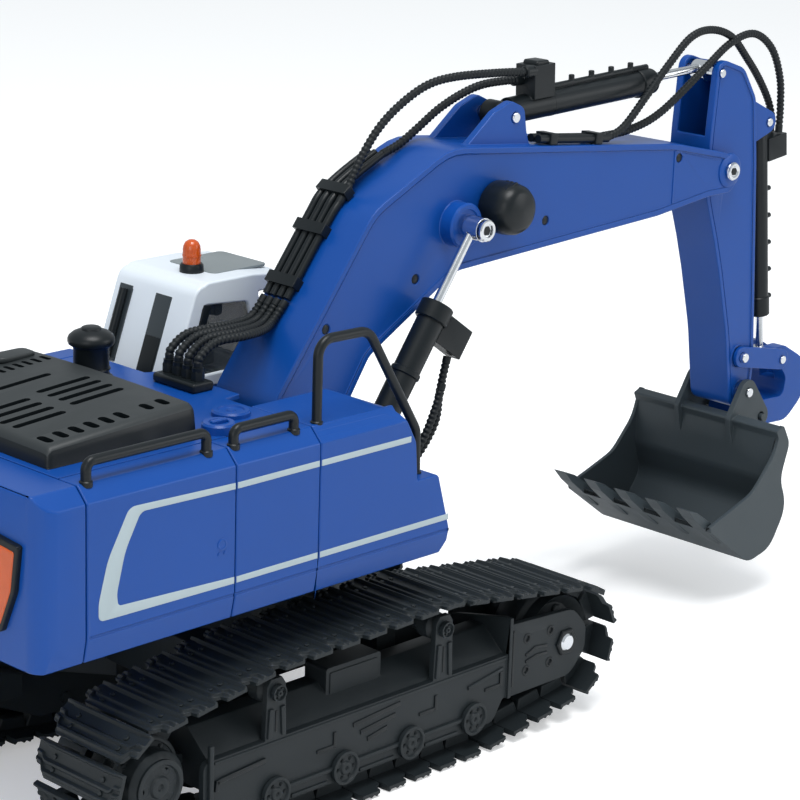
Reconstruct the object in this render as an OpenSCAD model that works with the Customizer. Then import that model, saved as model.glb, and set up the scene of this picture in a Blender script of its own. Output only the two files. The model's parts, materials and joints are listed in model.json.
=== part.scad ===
// Toy excavator on tracks: undercarriage, slewing house, boom, stick and bucket.
// Frame: X forwards to the bucket, Y to the cab side, Z up, ground at z = 0. The modules are drawn
// with the slew axis at x = y = 0, and the last lines move the whole so that its middle is there.
// All sizes are in millimetres.

/* [Tracks] */
// Distance between the centre lines of the two tracks
track_gauge = 134; // [132:1:138]
// Width of a track shoe
shoe_w = 50; // [46:1:52]
// Pitch of the track chain
chain_pitch = 15.5; // [15.2:0.1:15.6]
// Teeth on the drive sprocket
sprocket_teeth = 9; // [9:1:9]
// Distance from the slew axis to the idler and sprocket axles
axle_x = 118.5; // [116:0.5:121]
// Height of the idler and sprocket axles
axle_z = 36.5; // [35:0.5:38]
// Height of the chain rails
rail_h = 5; // [4:0.25:5.5]
// Thickness of a shoe plate
plate_t = 1.5; // [1.2:0.1:2]
// Height of the grouser bars
grouser_h = 1.5; // [1:0.1:2]
// Radius of a bottom roller
roller_r = 8; // [7:0.25:8.5]
// Spacing of the bottom rollers
roller_pitch = 39; // [37:0.5:40]
// Radius of a carrier roller
carrier_r = 6; // [5:0.25:6.5]
// Place of the front carrier roller, x
carrier_front_x = 39; // [35:1:43]
// Height of the front carrier roller
carrier_front_z = 62.5; // [61:0.5:63.5]
// Place of the rear carrier roller, x
carrier_rear_x = -58; // [-62:1:-54]
// Height of the rear carrier roller
carrier_rear_z = 60; // [58.5:0.5:61.5]

/* [House] */
// Half width of the house over its side doors
house_hw = 82; // [80:0.5:84]
// Height of the underside of the house
house_z = 95; // [93:0.5:97]
// Height of the deck
deck_z = 164; // [162:0.5:166]
// Height of the hood top at its front edge
hood_z = 174; // [172:0.5:176]
// Half width of the hood
hood_hw = 53; // [50:1:56]
// Rear face of the counterweight, x
tail_x = -174; // [-178:1:-170]
// Joint between counterweight and rear door, x
seam_rear_x = -152; // [-154:1:-150]
// Joint between rear and middle door, x
seam_mid_x = -78; // [-80:1:-76]
// Joint between middle door and front module, x
seam_front_x = -33; // [-35:1:-31]
// Thickness of the moulded walls
wall_t = 2.4; // [2:0.1:3]
// Gap between neighbouring panels
seam_gap = 0.4; // [0.2:0.1:0.6]

/* [Cab] */
// Inner side of the cab, y
cab_y0 = 28; // [26:0.5:30]
// Outer side of the cab, y
cab_y1 = 80; // [78:0.5:81]
// Height of the cab roof
cab_z = 196; // [193:0.5:199]
// Height of the cab's window sill
sill_z = 150; // [148:0.5:153]

/* [Boom] */
// Half width of the boom
boom_hw = 18.5; // [18:0.25:19.5]
// Boom foot pin, x
foot_x = 12; // [11:0.5:13]
// Boom foot pin, z
foot_z = 130; // [129:0.5:131]
// Wall of the boom shell
boom_wall = 2.2; // [1.8:0.1:2.6]

/* [Stick] */
// Half width of the stick
stick_hw = 12.5; // [12:0.25:13]
// Stick pivot, x
pivot_x = 306; // [304:0.5:308]
// Stick pivot, z
pivot_z = 217; // [216:0.5:218]
// Wall of the stick shell
stick_wall = 2; // [1.6:0.1:2.4]

/* [Bucket] */
// Half width of the bucket
bucket_hw = 47; // [44:0.5:50]
// Thickness of the bucket plates
bucket_t = 2; // [1.6:0.1:2.6]
// Number of bucket teeth
bucket_teeth = 5; // [4:1:6]

/* [Cylinders] */
// Radius of the boom cylinder rods
boom_rod_r = 2.1; // [1.8:0.1:2.2]
// Radius of the boom cylinder barrels
boom_barrel_r = 6.2; // [6.1:0.1:6.6]
// Radius of the stick cylinder rod
stick_rod_r = 2.1; // [1.8:0.1:2.2]
// Radius of the stick cylinder barrel
stick_barrel_r = 6.2; // [6:0.1:6.6]
// Radius of the bucket cylinder rod
bucket_rod_r = 1.9; // [1.6:0.1:2]
// Radius of the bucket cylinder barrel
bucket_barrel_r = 5; // [4.8:0.1:5.4]

/* [Fits] */
// Radial clearance of a running pin in its bore
run_fit = 0.05; // [0.03:0.01:0.08]
// Side gap between a moving piece and its cheek
side_gap = 0.4; // [0.3:0.05:0.5]

/* [Hidden] */
$fn = 48;
eps = 0.01;

// ---- colours ----
blue = [0.13, 0.32, 0.68];
black = [0.07, 0.09, 0.10];
grey = [0.27, 0.31, 0.34];
white = [0.88, 0.91, 0.93];
chrome = [0.82, 0.84, 0.86];
orange = [0.88, 0.33, 0.12];

// ---- helpers ----
// Extrudes an outline drawn in x and z between two y values.
module plate(y0, y1) { translate([0, y1, 0]) rotate([90, 0, 0]) linear_extrude(y1 - y0) children(); }
// Extrudes an outline drawn in y and z between two x values.
module bar(x0, x1) { translate([x0, 0, 0]) rotate([90, 0, 90]) linear_extrude(x1 - x0) children(); }
// Round pin along Y.
module pin(p, y0, y1, r) { translate([p[0], y1, p[1]]) rotate([90, 0, 0]) cylinder(h = y1 - y0, r = r); }
// Mirrored pair about the plane y = 0.
module pair() {
    children();
    mirror([0, 1, 0]) children();
}
module on_side(side) {
    if (side == "left") mirror([0, 1, 0]) children();
    else children();
}

function dir(a) = [cos(a), sin(a)];
function heading(a, b) = atan2(b[1] - a[1], b[0] - a[0]);
function flat2(v) = [v[0], v[1]];
// Outline with rounded corners; each point is [x, z, radius].
function fillet(p, step = 15) = [
    for (i = [0:len(p) - 1])
        let (a = flat2(p[(i + len(p) - 1) % len(p)]), b = flat2(p[i]), c = flat2(p[(i + 1) % len(p)]))
        let (u = (a - b) / norm(a - b), v = (c - b) / norm(c - b), r = p[i][2])
        each r == 0 ? [b] : corner(b, u, v, r, step)
];
function corner(b, u, v, r, step) =
    let (half = acos(u * v) / 2, w = (u + v) / norm(u + v), m = b + w * r / sin(half))
    let (a0 = atan2(-(w * [-u[1], u[0]]) * 0 + (b + u * r / tan(half) - m)[1], (b + u * r / tan(half) - m)[0]))
    let (a1 = atan2((b + v * r / tan(half) - m)[1], (b + v * r / tan(half) - m)[0]))
    let (turn = (a1 - a0 + 540) % 360 - 180, n = max(1, ceil(abs(turn) / step)))
    [for (k = [0:n]) m + r * dir(a0 + turn * k / n)];

// Tight belt round circles [x, z, r] listed anticlockwise.
function tangent(a, b) = heading(a, b) - acos((a[2] - b[2]) / norm(flat2(b) - flat2(a)));
function tangents(c) = [for (i = [0:len(c) - 1]) tangent(c[i], c[(i + 1) % len(c)])];
function sweep(c, t, i) = (t[i] - t[(i + len(c) - 1) % len(c)] + 720) % 360;
function belt_outline(c, step = 12) =
    let (t = tangents(c))
    [for (i = [0:len(c) - 1])
        let (s = sweep(c, t, i), n = max(1, ceil(s / step)), a0 = t[(i + len(c) - 1) % len(c)])
        for (k = [0:n]) flat2(c[i]) + c[i][2] * dir(a0 + s * k / n)];
// Outline moved inwards by d; the outline is anticlockwise.
function inset(p, d) = [
    for (i = [0:len(p) - 1])
        let (a = p[(i + len(p) - 1) % len(p)], b = p[i], c = p[(i + 1) % len(p)])
        let (u = (b - a) / norm(b - a), v = (c - b) / norm(c - b))
        let (nu = [-u[1], u[0]], nv = [-v[1], v[0]], w = nu + nv)
        b + w * 2 * d / (w * w)
];
// Tube swept along points, for hoses.
function unit3(v) = v / norm(v);
function along(p, i) = unit3(p[min(i + 1, len(p) - 1)] - p[max(i - 1, 0)]);
function side_of(t) = unit3(cross(t, abs(t[1]) > 0.8 ? [1, 0, 0] : [0, 1, 0]));
function spline(p, n) = [
    for (i = [0:len(p) - 2])
        let (a = p[max(i - 1, 0)], b = p[i], c = p[i + 1], d = p[min(i + 2, len(p) - 1)])
        for (k = [0:n - 1])
            let (t = k / n)
            0.5 * ((2 * b) + (c - a) * t + (2 * a - 5 * b + 4 * c - d) * t * t
                + (3 * b - a - 3 * c + d) * t * t * t),
    p[len(p) - 1]
];
module hose(points, r, per = 3, sides = 8) {
    p = spline(points, per);
    rings = [for (i = [0:len(p) - 1])
        let (t = along(p, i), s = side_of(t), q = cross(t, s))
        for (k = [0:sides - 1]) p[i] + r * (cos(360 * k / sides) * s + sin(360 * k / sides) * q)];
    n = len(p);
    walls = [for (i = [0:n - 2]) for (k = [0:sides - 1])
        let (a = i * sides + k, b = i * sides + (k + 1) % sides)
        each [[a, a + sides, b], [b, a + sides, b + sides]]];
    ends = [[for (k = [0:sides - 1]) k], [for (k = [sides - 1:-1:0]) (n - 1) * sides + k]];
    polyhedron(rings, concat(walls, ends));
}

// ---- tracks ----
ty = track_gauge / 2;
rail_mid = 10.5;
rail_w = 5;
end_pitch_r = chain_pitch / (2 * sin(180 / sprocket_teeth));
skin = rail_h / 2 + plate_t + grouser_h;
contact = 0.3;
roller_z = roller_r + contact + rail_h + plate_t + grouser_h;
roller_x = [for (i = [0:3]) (i - 1.5) * roller_pitch];
carriers = [[carrier_front_x, carrier_front_z], [carrier_rear_x, carrier_rear_z]];
belt = [
    [roller_x[0], roller_z, roller_r + contact + rail_h / 2],
    [roller_x[3], roller_z, roller_r + contact + rail_h / 2],
    [axle_x, axle_z, end_pitch_r],
    [carrier_front_x, carrier_front_z, carrier_r + contact + rail_h / 2],
    [carrier_rear_x, carrier_rear_z, carrier_r + contact + rail_h / 2],
    [-axle_x, axle_z, end_pitch_r]
];
normals = tangents(belt);
function arc_len(i) = belt[i][2] * sweep(belt, normals, i) * PI / 180;
function run_len(i) =
    let (a = belt[i], b = belt[(i + 1) % len(belt)])
    sqrt(pow(norm(flat2(b) - flat2(a)), 2) - pow(a[2] - b[2], 2));
function total(i = 0) = i == len(belt) ? 0 : arc_len(i) + run_len(i) + total(i + 1);
// Place on the pitch line at distance s: [x, z, outward direction].
function on_belt(s, i = 0) =
    let (j = i % len(belt), a0 = normals[(j + len(belt) - 1) % len(belt)], al = arc_len(j), rl = run_len(j))
    s < al ? concat(flat2(belt[j]) + belt[j][2] * dir(a0 + s / belt[j][2] * 180 / PI),
        [a0 + s / belt[j][2] * 180 / PI])
    : s < al + rl ? concat(flat2(belt[j]) + belt[j][2] * dir(normals[j])
        + (s - al) * dir(normals[j] + 90), [normals[j]])
    : on_belt(s - al - rl, i + 1);
shoes = round(total() / chain_pitch);
pitch = total() / shoes;

module shoe_outline() {
    h = pitch / 2 - 0.25;
    b = rail_h / 2;
    polygon([[-h, b], [h, b], [h, b + plate_t + grouser_h], [h - 1.6, b + plate_t + grouser_h],
        [h - 2.2, b + plate_t], [0.9, b + plate_t], [0.5, b + plate_t + grouser_h],
        [-0.9, b + plate_t + grouser_h], [-1.3, b + plate_t], [-h + 3.6, b + plate_t],
        [-h + 3.2, b + plate_t + grouser_h], [-h + 1.8, b + plate_t + grouser_h],
        [-h + 1.4, b + plate_t], [-h, b + plate_t]]);
}
module rail_outline() {
    h = pitch / 2 - 0.25;
    polygon([[-h, rail_h / 2 + 0.5], [-h, rail_h / 2 - 0.5], [-h * 0.8, -rail_h / 2],
        [h * 0.8, -rail_h / 2], [h, rail_h / 2 - 0.5], [h, rail_h / 2 + 0.5]]);
}
module chain() {
    for (k = [0:shoes - 1]) {
        q = on_belt((k + 0.5) * pitch);
        plate(-ty - shoe_w / 2, -ty + shoe_w / 2) translate(flat2(q)) rotate(q[2] - 90) shoe_outline();
        for (s = [-1, 1])
            plate(-ty + s * rail_mid - rail_w / 2, -ty + s * rail_mid + rail_w / 2)
                translate(flat2(q)) rotate(q[2] - 90) rail_outline();
    }
}
module track_chain(side) { color(black) on_side(side) chain(); }

// ---- side frames ----
cheek_t = 3;
cheek_in = 15.8;             // inner face of a cheek from the track centre line
axle_r = 2.4;
beam_top = 40;
ridge_z = 50;                // top of the beam's ridge
beam_bottom = roller_z + roller_r + 1;
module cheek_outline() {
    polygon(fillet([[-axle_x + 22, beam_top, 4], [-axle_x + 22, 22, 4], [-72, 10.5, 5], [72, 10.5, 5],
        [78, 20, 2], [96, 20, 4], [96, beam_top, 4]]));
}
module sprocket_arm_outline() {
    polygon(belt_outline([[-axle_x, axle_z, 11], [-axle_x + 30, 30, 9], [-axle_x + 30, 33, 7]]));
}
yoke_x0 = 82;
module yoke_outline() {
    polygon(fillet([[yoke_x0 - 1, 19.5, 0], [axle_x + 4, 19.5, 9], [axle_x + 14, 30, 7],
        [axle_x + 14, 41, 8], [axle_x + 5, 51, 10], [yoke_x0 - 1, 53.5, 0]]));
}
module bracket_outline(c) {
    polygon([[c[0] - 6, beam_top - 4], [c[0] + 6, beam_top - 4], [c[0] + 5, c[1] + 3],
        [c[0] + 3, c[1] + 6], [c[0] - 3, c[1] + 6], [c[0] - 5, c[1] + 3]]);
}
module side_frame(side) {
    color(black) on_side(side) difference() {
        union() {
            // beam over the bottom rollers
            bar(-axle_x + 26, yoke_x0)
                polygon([[-ty - cheek_in, beam_bottom], [-ty + cheek_in, beam_bottom], [-ty + cheek_in, beam_top],
                    [-ty + 4, ridge_z], [-ty - 4, ridge_z], [-ty - cheek_in, beam_top]]);
            // end plate of the beam, where the yoke begins
            bar(yoke_x0 - 2, yoke_x0)
                polygon([[-ty - cheek_in - cheek_t - 1.2, 19.5], [-ty + cheek_in, 19.5], [-ty + cheek_in, 50],
                    [-ty - cheek_in, 57], [-ty - cheek_in - cheek_t - 1.2, 57]]);
            for (s = [-1, 1]) {
                y0 = -ty + s * (cheek_in + cheek_t / 2) - cheek_t / 2;
                plate(y0, y0 + cheek_t) cheek_outline();
                plate(y0, y0 + cheek_t) yoke_outline();
                for (c = carriers) plate(y0, y0 + cheek_t) bracket_outline(c);
            }
            // inner arm that carries the sprocket shaft
            plate(-ty + cheek_in, -ty + cheek_in + cheek_t) sprocket_arm_outline();
            // step box on the slope of the beam
            plate(-ty - 9, -ty + 4)
                polygon(fillet([[-21, beam_top + 2, 0], [11, beam_top + 2, 0], [11, 57, 1.5], [-21, 57, 1.5]]));
        }
        for (x = roller_x) pin([x, roller_z], -ty - 30, -ty + 30, axle_r + run_fit);
        for (c = carriers) pin(c, -ty - 30, -ty + 30, axle_r + run_fit);
        for (x = [-axle_x, axle_x]) pin([x, axle_z], -ty - 30, -ty + 30, 3 + run_fit);
        // four screw holes in the yoke
        for (x = [92.5, 108]) for (z = [29.5, 44.5])
            pin([x, z], -ty - 30, -ty - cheek_in - cheek_t + 1.5, 1.8);
    }
}

// ---- rollers, idlers and sprockets ----
module spin(p) { translate([p[0], -ty, p[1]]) rotate([90, 0, 0]) children(); }
module revolve(profile) { rotate_extrude() polygon(profile); }
cap_y = cheek_in + cheek_t + side_gap;
module roller_shape(r, cap = 5) {
    // Spool with an axle that runs in both cheeks and a cap outside each.
    revolve([[0, -cap_y], [axle_r, -cap_y], [axle_r, -cheek_in + side_gap], [r * 0.72, -cheek_in + side_gap],
        [r, -13.5], [r, -7.5], [r * 0.72, -6.5], [r * 0.72, 6.5], [r, 7.5], [r, 13.5],
        [r * 0.72, cheek_in - side_gap], [axle_r, cheek_in - side_gap], [axle_r, cap_y],
        [cap, cap_y], [cap, cap_y + 1.4], [cap - 1, cap_y + 2], [0, cap_y + 2]]);
}
module roller(side, i) { color(grey) on_side(side) spin([roller_x[i], roller_z]) roller_shape(roller_r, 6.4); }
module carrier(side, i) { color(grey) on_side(side) spin(carriers[i]) roller_shape(carrier_r); }
tread_r = end_pitch_r - rail_h / 2 - 0.3;
module idler(side) {
    color(black) on_side(side) spin([axle_x, axle_z]) revolve([
        [0, -cap_y], [3, -cap_y], [3, -cheek_in + side_gap], [7, -cheek_in + side_gap], [7, -10],
        [tread_r - 3, -10], [tread_r, -13], [tread_r, -7.3], [tread_r + 3, -6], [tread_r + 3, 6],
        [tread_r, 7.3], [tread_r, 13], [tread_r - 3, 10], [7, 10], [7, cheek_in - side_gap],
        [3, cheek_in - side_gap], [3, cap_y], [4, cap_y], [4, cap_y + 1.2], [3.2, cap_y + 2],
        [0, cap_y + 2]]);
}
shaft_in = cheek_in + cheek_t - 0.2;
module tooth_ring() {
    n = sprocket_teeth;
    root = end_pitch_r - 4;
    tip = end_pitch_r + rail_h / 2 - 0.3;
    polygon([for (i = [0:n - 1]) each [
        root * dir(360 * (i - 0.26) / n), tip * dir(360 * (i - 0.11) / n),
        tip * dir(360 * (i + 0.11) / n), root * dir(360 * (i + 0.26) / n)]]);
}
module sprocket(side) {
    color(black) on_side(side) spin([-axle_x, axle_z]) {
        difference() {
            union() {
                translate([0, 0, -3]) linear_extrude(6) tooth_ring();
                revolve([[0, -shaft_in], [3, -shaft_in], [3, -cheek_in + side_gap],
                    [8, -cheek_in + side_gap], [8, -8], [16.5, -6], [16.5, 8], [14, 10], [14, cheek_in], [11.5, cheek_in + 2],
                    [0, cheek_in + 2]]);
            }
            for (a = [0:60:300]) rotate(a) translate([8.6, 0, cheek_in]) cylinder(h = 3, r = 1.2);
        }
    }
}
module track_motors() {
    color(grey) pair() {
        pin([-axle_x, axle_z], -ty + cheek_in + cheek_t, -ty + cheek_in + cheek_t + 16, 9);
        plate(-ty + cheek_in + cheek_t, -ty + cheek_in + cheek_t + 9)
            polygon([[-axle_x, axle_z - 9], [-axle_x + 30, 28], [-axle_x + 30, 38], [-axle_x, axle_z + 9]]);
    }
}

// ---- centre frame and slew ring ----
hub_top = 80;
ring_r = 46;
ring_in = 36;
module center_frame() {
    inner = ty - cheek_in - cheek_t;
    color(black) difference() {
        union() {
            translate([0, 0, 38]) linear_extrude(24)
                polygon(fillet([[-52, -34, 8], [52, -34, 8], [52, 34, 8], [-52, 34, 8]]));
            // four legs that spread to the side frames
            for (a = [-1, 1]) for (b = [-1, 1])
                translate([0, 0, 30]) linear_extrude(22)
                    polygon([[a * 20, b * 30], [a * 48, b * 26], [a * 66, b * inner], [a * 34, b * inner]]);
            translate([0, 0, 60]) cylinder(h = hub_top - 60, r = ring_in + 5, $fn = 72);
        }
        translate([0, 0, hub_top - 14]) cylinder(h = 20, r = ring_in + run_fit, $fn = 72);
        translate([0, 0, 30]) cylinder(h = 60, r = 10);
    }
}
ring_top = 87;
module slew_ring() {
    color(grey) difference() {
        translate([0, 0, hub_top]) cylinder(h = ring_top - hub_top, r = ring_r + 4, $fn = 72);
        translate([0, 0, hub_top - 1]) cylinder(h = 20, r = ring_in + run_fit, $fn = 72);
        for (a = [0:30:330]) rotate(a) translate([ring_r, 0, ring_top - 1.5]) cylinder(h = 3, r = 1.6);
    }
}

// ---- house ----
floor_t = 4;
foot = [foot_x, foot_z];
bore_r = 3;
channel_y0 = -40;            // right edge of the channel that the boom stands in
boom_cyl_foot = [32, 108];
boom_cyl_head = [109, 217];
bracket_in = boom_hw + side_gap;
bracket_t = 4;
cyl_y = 30;                  // boom cylinder axis from the centre plane
floor_hw = house_hw - 4.7;
module house_floor() {
    color(blue) difference() {
        union() {
            translate([0, 0, house_z]) linear_extrude(floor_t)
                polygon([[seam_rear_x + 0.3, -floor_hw], [seam_front_x, -floor_hw],
                    [seam_front_x, channel_y0 + 0.3], [40, channel_y0 + 0.3], [40, cab_y0 - 0.3],
                    [seam_front_x, cab_y0 - 0.3], [seam_front_x, floor_hw],
                    [seam_rear_x + 0.3, floor_hw]]);
            // journal in the slew ring and the shoulder that rests on it
            translate([0, 0, hub_top - 8]) cylinder(h = house_z - hub_top + 8, r = ring_in, $fn = 72);
            translate([0, 0, ring_top]) cylinder(h = house_z - ring_top, r = ring_r - 2);
            // two cheeks that hold the boom foot
            for (s = [-1, 1]) {
                y = s * (bracket_in + bracket_t / 2);
                plate(y - bracket_t / 2, y + bracket_t / 2)
                    polygon(fillet([[-26, house_z + 1, 0], [40, house_z + 1, 0], [40, 112, 3],
                        [26, 138, 10], [18, 150, 6], [-8, 150, 8]]));
            }
        }
        translate([0, 0, hub_top - 9]) cylinder(h = 40, r = 12);
        pin(foot, -60, 60, bore_r + run_fit);
        for (s = [-1, 1])
            pin(boom_cyl_foot, s * (bracket_in + bracket_t / 2) - 3, s * (bracket_in + bracket_t / 2) + 3, 3);
    }
    // boom foot pin with its heads, and the stub pins of the boom cylinders
    color(chrome) {
        pin(foot, -bracket_in - bracket_t - 1.5, bracket_in + bracket_t + 1.5, bore_r);
    }
    color(chrome) pair() {
        pin(boom_cyl_foot, -cyl_y - 6, -bracket_in, 3);
    }
}
module side_section() {
    w = wall_t;
    polygon([[-house_hw + 2, house_z], [-house_hw, house_z + 10], [-house_hw, deck_z - 6],
        [-house_hw + 6, deck_z], [-hood_hw - 12, deck_z], [-hood_hw - 12, deck_z - w],
        [-house_hw + 7, deck_z - w], [-house_hw + w, deck_z - 7], [-house_hw + w, house_z + 10],
        [-house_hw + w + 2, house_z]]);
}
module side_doors() {
    color(blue) {
        pair() {
            bar(seam_rear_x + seam_gap, seam_mid_x) side_section();
            bar(seam_mid_x + seam_gap, seam_front_x) side_section();
        }
    }
}
tail_y = 46;
module counterweight() {
    color(blue) intersection() {
        translate([0, 0, house_z]) linear_extrude(80)
            polygon(fillet([[seam_rear_x, house_hw, 0], [tail_x, house_hw, 9], [tail_x, tail_y, 0],
                [tail_x - 4, tail_y - 14, 30], [tail_x - 4, -tail_y + 14, 30], [tail_x, -tail_y, 0],
                [tail_x, -house_hw, 9], [seam_rear_x, -house_hw, 0]]));
        bar(tail_x - 10, seam_rear_x)
            polygon([[-house_hw + 2, house_z], [-house_hw, house_z + 10], [-house_hw, deck_z - 6],
                [-house_hw + 6, deck_z], [house_hw - 6, deck_z], [house_hw, deck_z - 6],
                [house_hw, house_z + 10], [house_hw - 2, house_z]]);
        plate(-house_hw, house_hw)
            polygon(fillet([[seam_rear_x, house_z, 0], [seam_rear_x, deck_z, 0], [tail_x - 4, deck_z, 6],
                [tail_x - 4, house_z + 6, 2], [tail_x, house_z, 2]]));
    }
}
module deck() {
    color(blue) difference() {
        translate([0, 0, deck_z - wall_t]) linear_extrude(wall_t)
            polygon([[seam_rear_x + seam_gap, -hood_hw - 11.6], [seam_front_x, -hood_hw - 11.6],
                [seam_front_x, channel_y0 + 15], [-24, -bracket_in - bracket_t - 1],
                [-24, bracket_in + bracket_t - 1], [seam_front_x, cab_y0 - 2],
                [seam_front_x, hood_hw + 11.6], [seam_rear_x + seam_gap, hood_hw + 11.6]]);
        // opening under the hood
        translate([-140, -46, deck_z - 10]) cube([58, 92, 20]);
    }
}
module front_outline(d = 0) {
    polygon(fillet([[seam_front_x + seam_gap + d, house_z + d, 0], [40 - d, house_z + d, 0],
        [43.5 - d, 100, 2], [43.5 - d, 106, 4], [36 - d, 131 - d, 2], [23.5 - d, 131 - d, 0],
        [22 - d, 148 - d, 6], [13 - d, deck_z - d, 10], [seam_front_x + seam_gap + d, deck_z - d, 0]]));
}
module front_module() {
    color(blue) difference() {
        intersection() {
            plate(-house_hw, channel_y0) front_outline();
            bar(seam_front_x, 50)
                polygon([[-house_hw + 2, house_z], [-house_hw, house_z + 10], [-house_hw, deck_z - 6],
                    [-house_hw + 6, deck_z], [channel_y0, deck_z], [channel_y0, house_z]]);
        }
        translate([0, wall_t, 0]) plate(-house_hw, channel_y0 - 2 * wall_t) front_outline(wall_t);
    }
}
// Room that the left boom cylinder swings in, beside the cab.
module cylinder_bay() {
    plate(cab_y0 - 1, cyl_y + 7)
        polygon([[22, house_z - 1], [22, 108], [50, 200], [90, 200], [90, house_z - 1]]);
}
module cab_base() {
    color(blue) difference() {
        plate(cab_y0, house_hw)
            polygon(fillet([[seam_front_x + seam_gap, house_z, 0], [48, house_z, 4], [50, 112, 8],
                [50, sill_z, 0], [seam_front_x + seam_gap, sill_z, 0]]));
        translate([-27, cyl_y + 7 + wall_t, house_z + 6])
            cube([73, house_hw - cyl_y - 7 - 2 * wall_t, 60]);
        cylinder_bay();
    }
}

// ---- hood, stack, rails, caps ----
hood_x0 = -147;
hood_x1 = -75;
module hood_block(d) {
    intersection() {
        bar(hood_x0 + d, hood_x1 - d)
            polygon(fillet([[-hood_hw + d, deck_z - 1, 0], [hood_hw - d, deck_z - 1, 0],
                [hood_hw - d - 2, hood_z - d, 6], [-hood_hw + d + 2, hood_z - d, 6]]));
        plate(-hood_hw, hood_hw)
            polygon(fillet([[hood_x0 + d, deck_z - 1, 0], [hood_x1 - d, deck_z - 1, 0],
                [hood_x1 - d - 1, hood_z - d, 4], [hood_x0 + d + 2, hood_z - 5 - d, 5]]));
    }
}
module hood() {
    color(grey) difference() {
        intersection() {
            hood_block(0);
            translate([hood_x0 - 1, -hood_hw - 1, deck_z]) cube([80, 120, 40]);
        }
        hood_block(2.2);
        // long louvre slots
        for (i = [0:3]) for (s = [0, 1])
            translate([-128 + 6 * i + 4 * s, -30 + i * 7 + s * 34, deck_z + 3]) cube([26, 2.2, 20]);
        // short slots along the right edge
        for (i = [0:5]) translate([-134 + 8 * i, -46, deck_z + 3]) cube([4, 7, 20]);
    }
}
stack_at = [-62, 26];
module air_stack() {
    color(black) translate([stack_at[0], stack_at[1], deck_z]) revolve([[0, 0], [9, 0], [9, 4], [7.5, 5],
        [7.5, 16.5], [9.6, 18], [9.8, 20], [7.6, 22.6], [4, 24.2], [0, 24.8]]);
}
rail_r = 1.9;
rail_y = -house_hw + 8;
function hoop(x0, x1, z0, z1) = [
    [x0, rail_y, z0], [x0, rail_y, z1 - 3], [x0 + 1, rail_y, z1 - 1], [x0 + 3, rail_y, z1],
    [x1 - 3, rail_y, z1], [x1 - 1, rail_y, z1 - 1], [x1, rail_y, z1 - 3], [x1, rail_y, z0]];
module handrails() {
    color(black) {
        hose(hoop(-147, -88, deck_z, deck_z + 9), rail_r, 1);
        hose(hoop(-74, -42, deck_z, deck_z + 7), rail_r, 1);
        hose([[-28, rail_y, deck_z], [-28, rail_y, deck_z + 27], [-26, rail_y, deck_z + 32],
            [-21, rail_y, deck_z + 34.5], [-4, rail_y, deck_z + 32], [2, rail_y, deck_z + 28],
            [26, rail_y, deck_z - 10], [29, rail_y, deck_z - 16], [30, rail_y, deck_z - 22],
            [30, rail_y, 131]], rail_r, 1);
    }
}
module fuel_cap() {
    color(blue) {
        translate([-66, -58, deck_z]) cylinder(h = 4, r = 7);
        translate([-47, -44, deck_z]) cylinder(h = 2.4, r = 8);
    }
}
module hose_manifold() {
    color(black) {
        translate([-42, -14, deck_z]) cube([16, 28, 9]);
    }
}
module tail_lights() {
    color(orange) pair() bar(tail_x - 3.5, tail_x)
        polygon([[-72, 147], [-50, 149], [-50, 122], [-61, 130]]);
}

// ---- cab ----
cab_front_x = 50;
module cab_outline(d) {
    polygon(fillet([[-18 + d, sill_z + d, 2], [46 - d, sill_z + d, 2], [34 - d, 187 - d / 2, 3],
        [34 - d, cab_z - d, 3], [-2 + d, cab_z - d, 7]]));
}
module cab_shell() {
    color(white) difference() {
        union() {
            plate(cab_y0, cab_y1) cab_outline(0);
            // roof with its visor
            plate(cab_y0, cab_y1)
                polygon(fillet([[-4, 188, 2], [50, 188.5, 1], [54, 191, 2], [50, cab_z - 1, 3],
                    [30, cab_z + 1, 8], [3, cab_z + 1, 5]]));
        }
        plate(cab_y0 + wall_t, cab_y1 - wall_t) cab_outline(wall_t);
        // side windows
        plate(cab_y0 - 1, cab_y1 + 1)
            polygon(fillet([[-7, sill_z + 6, 3], [36, sill_z + 6, 3], [27, 185, 3], [2, 187, 3]]));
        // rear windows and windscreen
        for (y = [[44, 7], [68, 8]])
            translate([-30, y[0], sill_z + 7]) cube([36, y[1], 30]);
        translate([20, cab_y0 + 5, sill_z + 4]) cube([40, cab_y1 - cab_y0 - 10, 33]);
        // opening for the seat
        translate([-9, 40, sill_z - 1]) cube([32, 30, 5]);
        cylinder_bay();
    }
}
module cab_glass() {
    color([0.3, 0.36, 0.4, 0.6]) difference() {
        plate(cab_y0 + wall_t + 0.3, cab_y1 - wall_t - 0.3) cab_outline(wall_t + 0.3);
        plate(cab_y0 + wall_t + 1.3, cab_y1 - wall_t - 1.3) cab_outline(wall_t + 1.3);
        translate([-40, cab_y0, sill_z]) cube([120, 80, 4.5]);
        plate(cab_y0, cyl_y + 7.5) polygon([[22, 100], [22, 108], [50, 200], [90, 200], [90, 100]]);
    }
}
module cab_interior() {
    color(black) {
        translate([-4, 44, house_z + 6]) cube([16, 20, 54]);
        translate([-7, 42, house_z + 60]) cube([28, 24, 6]);
        translate([-5, 42, house_z + 66]) cube([6, 24, 16]);
    }
}
beacon_at = [12, 48];
module beacon() {
    color(orange) translate([beacon_at[0], beacon_at[1], cab_z + 1]) revolve([[0, 0], [5.6, 0], [6, 1],
        [6, 4], [4.6, 5], [4.6, 12], [3.6, 15], [2, 16.4], [0, 16.8]]);
}
module cab_bar() {
    color(black) {
        translate([-17.3, cab_y1 - 9, 158.7]) rotate([0, 19.2, 0]) cylinder(h = 31, r = 1.8);
    }
}

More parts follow.
